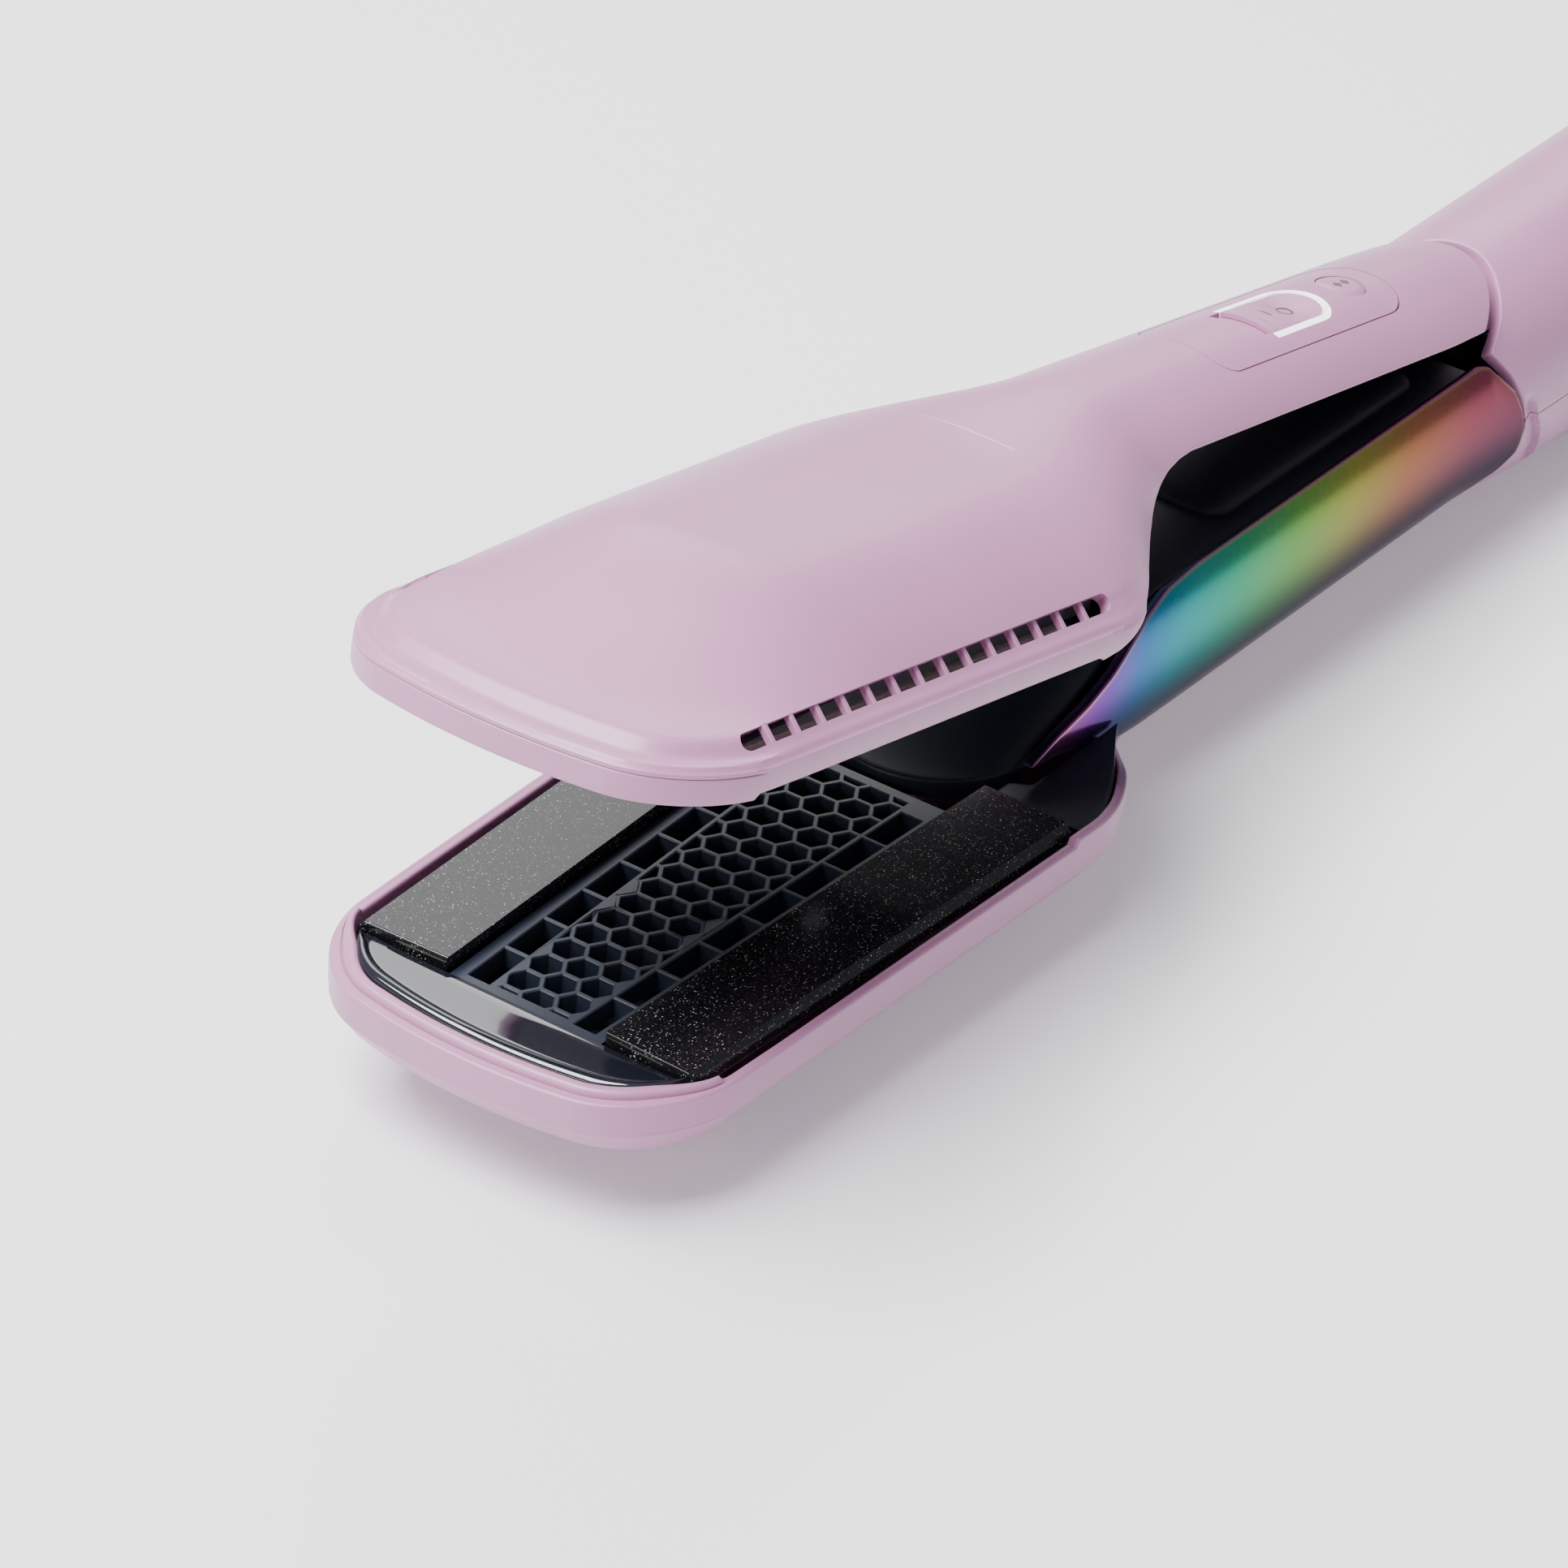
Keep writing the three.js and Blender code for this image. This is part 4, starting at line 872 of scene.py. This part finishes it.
def cover_sheet():
    """Top of the cover: u runs from the arc behind the plates to the rear, v across."""
    us = np.array([0, 0.0006, 0.0016, 0.0034, *np.linspace(0.008, 0.3, 44), *np.linspace(0.31, 1, 50)[1:]])
    vs = np.array([-1, -0.996, -0.988, -0.975, *np.linspace(-0.95, 0.95, 45), 0.975, 0.988, 0.996, 1])
    y = vs * COVER_HALF
    front = ARC_X - np.sqrt(ARC_RADIUS ** 2 - y * y)
    x = front + us[:, None] * (COVER_REAR - front)
    drop = edge_drop(np.minimum(x - x[:1], (1 - np.abs(vs)) * 15), COVER_EDGE)
    return np.stack([x, vs * mix(COVER_HALF, 14.25, smooth(100, 122, x)), cover_height(x, y) - drop], -1)


cover = slab("neck_cover", cover_sheet(), cover_sheet() - [0, 0, COVER_DEPTH])
install(cover, SLATE, "body", "slate_plastic", "neck_inner_cover")


def dome(name, x0, x1, half, corner, base, height):
    """Low hump on a rounded rectangle: rings shrink from the foot to the middle line."""
    foot = np.array(rounded_rect(x0, x1, half, [corner] * 4, 10))
    spine = np.clip(foot[:, 0], x0 + half, x1 - half)
    rings = []
    for inset, lift in ((0.0, -1.5), (0.0, 0.05), (0.01, 0.14), (0.03, 0.3), (0.07, 0.42), (0.14, 0.55),
                        (0.24, 0.68), (0.38, 0.8), (0.55, 0.9), (0.75, 0.97), (1.0, 1.0)):
        z = base + (height * lift if lift > 0 else lift)
        x, y = mix(foot[:, 0], spine, inset), foot[:, 1] * (1 - inset)
        rings.append(np.stack([x, y, np.full(len(x), z)], 1))
    return loft(name, rings)


install(dome("neck_hump", 143.2, 197.5, 10.5, 3.8, 11.25, 2.55), SLATE, "body", "slate_plastic")

# ---------- deck behind the lower plates, glossy tip covers ----------
DECK_FRONT, DECK_REAR = 80.95, 107
DECK_Z, DECK_DEPTH = -1.7, 1.6
DECK_ACROSS = np.array([0, 0.02, 0.06, 0.3, 0.6, 0.9, 0.97, 0.99, 1.0])
DECK_DROP = np.array([0.3, 0.08, 0, 0, 0, 0, 0, 0.08, 0.3])


def shell_inner_y(x):
    """Half width inside the lower shell at the deck's height."""
    out, z = half_section(x, False)
    return float(np.interp(-DECK_Z, -z[:WALL_POINTS], out[:WALL_POINTS])) - WALL - 0.35


points, faces = [], []
for side in (-1, 1):
    loops = []
    for x in [DECK_FRONT, 81.1, 81.4, *np.linspace(82, DECK_REAR, 40)]:
        inner_y = mix(15.95, 18.75, np.clip((x - 84.8) / 1.4, 0, 1))
        y = side * mix(inner_y, max(shell_inner_y(x), inner_y + 0.05), DECK_ACROSS)
        row = np.stack([np.full(len(y), x), y, DECK_Z - DECK_DROP], 1)
        loops.append(np.vstack([row, row[::-1] * [1, 1, 0] + [0, 0, DECK_Z - DECK_DEPTH]]))
    faces += grid_faces(*np.shape(loops)[:2], closed=True, start=len(points))
    points += list(np.reshape(loops, (-1, 3)))
install(new_piece("deck_lower", points, faces), SLATE, "body", "slate_plastic", "lower_deck")

TIP_INSET = 4.15               # from the paddle's outline to the crescent
CRESCENT_HALF, CRESCENT_CORNER = 26.6, 9.0
# bead along the crescent's front: distance from its edge, height
BEAD = [(0.0, -2.12), (0.0, -1.62), (0.07, -1.22), (0.25, -0.88), (0.52, -0.62), (0.88, -0.46), (1.25, -0.42),
        (1.62, -0.5), (1.96, -0.7), (2.24, -0.96), (2.5, -1.18), (2.85, -1.28), (3.3, -1.3)]


def tip_cover(name, upper):
    """Glossy crescent with a raised round bead along its front."""
    radius = FRONT_RADIUS - TIP_INSET
    rows = []
    for t in np.linspace(-1, 1, 91):
        y = CRESCENT_HALF * math.sin(t * math.pi / 2)
        x = TIP_X + FRONT_RADIUS - math.sqrt(radius ** 2 - y * y)
        k = np.clip((abs(y) - side_line(-3) + TIP_INSET) / CRESCENT_CORNER + 1, 0, 1)
        x = min(x + 0.86 * CRESCENT_CORNER * (1 - math.sqrt(1 - k * k)), PLATE_FRONT - 0.02)
        scale = min(1.0, (PLATE_FRONT - x) / 4)
        row = [(x + ahead * scale, y, z) for ahead, z in BEAD]
        row += [(mix(row[-1][0], PLATE_FRONT, k), y, BEAD[-1][1]) for k in (0.35, 0.7, 0.97)]
        rows.append(row + [(PLATE_FRONT, y, -1.4), (PLATE_FRONT, y, -2.1)])
    return loft(name, np.array(rows) * [1, 1, -1 if upper else 1], upper=upper, angle=45)


install(tip_cover("crescent_lower", False), GLOSS, "body", "black_gloss", "lower_tip_cover")
install(tip_cover("crescent_upper", True), GLOSS, "upper_arm", "black_gloss", "upper_tip_cover")

# ---------- air grilles: honeycomb between two rows of windows ----------
PLATE_INNER_Y, PLATE_SPLAY = 12.55, 3 / 80
GRILLE_FRONT, GRILLE_REAR = -0.2, 73.5
GRILLE_TOP, GRILLE_DEPTH = -2.06, 3.0
HEX_PITCH, HEX_RIB = 4.684, 0.8
FIELD_FRONT, FIELD_REAR = 1.7, 71.8
FIELD_HALF = PLATE_INNER_Y - 6.65
WINDOW_INNER, WINDOW_OUTER = 5.85, 2.45
WINDOW_FRONT, WINDOW_STEP, WINDOW_LENGTH = 1.3, 8.6, 7.9


def plate_edge(x):
    return PLATE_INNER_Y + PLATE_SPLAY * x


def clipped(polygon, a, b, c):
    """Part of a polygon where a*x + b*y <= c."""
    kept = []
    for i, p in enumerate(polygon):
        q = polygon[(i + 1) % len(polygon)]
        dp, dq = a * p[0] + b * p[1] - c, a * q[0] + b * q[1] - c
        if dp <= 0:
            kept.append(p)
        if dp * dq < 0:
            k = dp / (dp - dq)
            kept.append((mix(p[0], q[0], k), mix(p[1], q[1], k)))
    return kept


def area(polygon):
    return 0.5 * sum(p[0] * q[1] - q[0] * p[1] for p, q in zip(polygon, polygon[1:] + polygon[:1]))


def grown(polygon, distance):
    """Convex polygon with every side moved outwards."""
    points = np.array(polygon)
    sides = np.roll(points, -1, axis=0) - points
    normals = np.stack([sides[:, 1], -sides[:, 0]], 1) / np.linalg.norm(sides, axis=1)[:, None]
    before = np.roll(normals, 1, axis=0)
    return points + distance * (normals + before) / (1 + (normals * before).sum(1))[:, None]


def grille_holes():
    """Outlines of the honeycomb's cells, cut off at its border, and of the windows beside it."""
    holes = []
    radius = (HEX_PITCH - HEX_RIB) / math.sqrt(3)
    turns = [math.radians(30 + 60 * k) for k in range(6)]
    for row in range(-2, 3):
        first = HEX_PITCH * (0.55 if row % 2 == 0 else 1.05) - HEX_PITCH
        for i in range(17):
            cx, cy = first + i * HEX_PITCH, row * HEX_PITCH * math.sqrt(3) / 2
            cell = [(cx + radius * math.cos(a), cy + radius * math.sin(a)) for a in turns]
            for limit in ((-1, 0, -FIELD_FRONT), (1, 0, FIELD_REAR), (-PLATE_SPLAY, 1, FIELD_HALF),
                          (-PLATE_SPLAY, -1, FIELD_HALF)):
                cell = clipped(cell, *limit)
            if len(cell) >= 3 and area(cell) > 0.7:
                holes.append(cell)
    for side in (-1, 1):
        for i in range(8):
            x0 = WINDOW_FRONT + i * WINDOW_STEP
            x1 = x0 + WINDOW_LENGTH
            corners = [(x0, WINDOW_INNER), (x1, WINDOW_INNER), (x1, WINDOW_OUTER), (x0, WINDOW_OUTER)]
            window = [(x, side * (plate_edge(x) - inset)) for x, inset in corners]
            holes.append(window if area(window) > 0 else window[::-1])
    return holes


def grille(name, upper):
    flip = -1 if upper else 1
    front, rear = ((x, plate_edge(x) - 0.5) for x in (GRILLE_FRONT, GRILLE_REAR))
    outline = [(front[0], -front[1]), (rear[0], -rear[1]), rear, front]
    plate = prism(name, outline, GRILLE_TOP - GRILLE_DEPTH, GRILLE_TOP, depth_axis=(0, 0, flip), upper=upper)
    cutters = [[[(x, y, flip * (GRILLE_TOP + level)) for x, y in grown(hole, grow)]
                for level, grow in ((-GRILLE_DEPTH - 1, 0), (-0.16, 0), (0.06, 0.22))]
               for hole in grille_holes()]
    return boolean(plate, solids("grille_cutters", cutters, upper), angle=25)


install(grille("honeycomb_lower", False), GRILLE, "body", "slate_plastic", "lower_grille")
install(grille("honeycomb_upper", True), GRILLE, "upper_arm", "slate_plastic", "upper_grille")

# thin dark sheet under the grille's windows: painted shade, so the pink inside of the shell does not show
# through them
shade_sheet = prism("window_shade_sheet", [(4, -17), (71, -17), (71, 17), (4, 17)], -8.0, -7.7, upper=False)
install(shade_sheet, SLATE, "body", "slate_plastic")

# ---------- rear: filter cover, cap and gland ----------
BARREL_Z = -1.0
COVER_FROM, COVER_TO, SLOTS = 281.4, 300.6, 36


def turned(name, profile, sides=96, flat=False):
    """Closed profile of (x, radius) turned about the barrel's axis. `flat` gives it a level foot."""
    foot = REST_Z if flat else -math.inf
    rows = []
    for i in range(sides):
        a = 2 * math.pi * i / sides
        rows.append([(x, r * math.cos(a), max(BARREL_Z + r * math.sin(a), foot)) for x, r in profile])
    return loft(name, rows, looped=True, weld=False, fill=False, angle=30)


guard = turned("filter_sleeve", [
    (COVER_FROM, 18.0), (COVER_TO, 18.0), (COVER_TO, 19.4), (COVER_TO - 0.2, 19.8), (COVER_TO - 0.6, 20.05),
    (COVER_TO - 1, 20.1), (COVER_FROM + 0.4, 20.1), (COVER_FROM + 0.1, 20.0), (COVER_FROM, 19.7)],
    sides=144, flat=True)
slot = stadium(COVER_FROM + 3.2, COVER_TO - 3.2, 0.9, 6)
cutters = []
for i in range(SLOTS):
    a = 2 * math.pi * (i + 0.5) / SLOTS
    if math.sin(a) >= -0.9:    # none on the flat foot
        across, out = np.array([0, -math.sin(a), math.cos(a)]), np.array([0, math.cos(a), math.sin(a)])
        cutters.append([[np.array([u, 0, BARREL_Z]) + v * across + level * out for u, v in slot]
                        for level in (16.8, 22)])
boolean(guard, solids("slot_cutters", cutters), angle=30)
install(guard, PINK, "filter_cover", "pink_shell", "filter_cover")

cap = turned("end_disc", [
    (280, 4.6), (302.2, 4.6), (302.8, 5.0), (303, 5.6), (303, 15.6), (302.8, 16.6), (302.3, 17.2),
    (300.9, 17.2), (300.9, 7), (280, 7)])
install(cap, SLATE, "body", "slate_plastic", "rear_cap")
gland = turned("cord_swivel", [
    (277.5, 2.6), (306.6, 2.6), (307, 3.0), (307, 4.3), (306.6, 4.75), (305.4, 6.0), (305, 6.2), (303.7, 6.2),
    (303.5, 6.0), (303.5, 4.2), (279.5, 4.2), (279.5, 6), (277.5, 6)], sides=64)
install(gland, RUBBER, "cord_gland", "soft_rubber", "cord_gland")


# ---------- CAD nodes that stay: rounder edges and materials ----------
def both(*names):
    return [f"{name}_{side}" for name in names for side in ("near", "far")]


KEPT = [
    (SLATE, ["lower_chassis", "upper_chassis", "upper_deck", "upper_inner_cover", "fan_shroud",
             "air_straightener", "impeller", *both("vent_baffle")]),
    (PLATE, both("lower_plate", "upper_plate")),
    (STEEL, ["hinge_bracket", "hinge_pin", "hinge_spring", "motor_body", "rotor_shaft", "filter_mesh",
             *both("lower_chassis_screw", "upper_chassis_screw")]),
    (HEATER, ["air_heater_core", *both("lower_heater", "upper_heater")]),
    (BOARD, ["main_board", "control_board"]),
    (GLOSS, ["board_capacitor", "board_relay"]),
    (RUBBER, ["motor_mount_ring"]),
]
for look, names in KEPT:
    for name in names:
        obj = NODES[name]
        obj.data.materials.clear()
        obj.data.materials.append(look)
        weld = obj.modifiers.new("weld", "WELD")
        weld.merge_threshold = 1e-6
        bevel = obj.modifiers.new("edges", "BEVEL")
        bevel.width = (0.3 if look is PLATE else 0.15) * MM
        bevel.segments = 2
        bevel.limit_method = "ANGLE"
        bevel.angle_limit = math.radians(40)
        flat = obj.modifiers.new("shading", "WEIGHTED_NORMAL")
        flat.weight = 100
        flat.keep_sharp = True
        finish_mesh(obj.data, 50)

# ---------- floor, light and camera ----------
floor_mesh = bpy.data.meshes.new("floor")
bm = bmesh.new()
bmesh.ops.create_grid(bm, x_segments=8, y_segments=8, size=6)
bm.to_mesh(floor_mesh)
bm.free()
floor = bpy.data.objects.new("floor", floor_mesh)
bpy.context.scene.collection.objects.link(floor)
floor.location.z = -0.0002
floor_mesh.materials.append(glowing("floor_paper", 3, (0.79, 0.79, 0.81), (0.81, 0.81, 0.825), 0.3, 0.2))

world = bpy.data.worlds.new("studio")
bpy.context.scene.world = world
world.use_nodes = True
world.node_tree.nodes["Background"].inputs["Color"].default_value = (0.88, 0.92, 1.0, 1)
world.node_tree.nodes["Background"].inputs["Strength"].default_value = 0.36


def area_light(name, location, target, size, energy):
    data = bpy.data.lights.new(name, "AREA")
    data.shape = "RECTANGLE"
    data.size, data.size_y = size
    data.energy = energy
    light = bpy.data.objects.new(name, data)
    light.location = location
    light.rotation_euler = (Vector(target) - Vector(location)).to_track_quat("-Z", "Y").to_euler()
    bpy.context.scene.collection.objects.link(light)


area_light("key_above", (-0.6, 0.5, 1.7), (-0.05, 0, 0), (1.6, 1.2), 116)
area_light("front_left", (-1.3, 0.35, 0.5), (-0.1, 0, 0.03), (0.35, 0.25), 3)
area_light("behind", (1.5, 1.0, 1.1), (0, 0, 0.03), (1.1, 0.9), 9)

camera_data = bpy.data.cameras.new("camera")
camera_data.lens = 150.134
camera_data.sensor_width = 36
camera_data.clip_start = 0.01
camera = bpy.data.objects.new("camera", camera_data)
RIGHT = (0.58641993, -0.80767845, 0.06137744)
DOWN = (-0.40062626, -0.35506393, -0.84464680)
FORWARD = (0.70399593, 0.47072830, -0.53179376)
turn = Matrix((RIGHT, [-v for v in DOWN], [-v for v in FORWARD])).transposed()
camera.matrix_world = Matrix.Translation((-0.69564071, -0.40424617, 0.48176069)) @ turn.to_4x4()
bpy.context.scene.collection.objects.link(camera)
bpy.context.scene.camera = camera
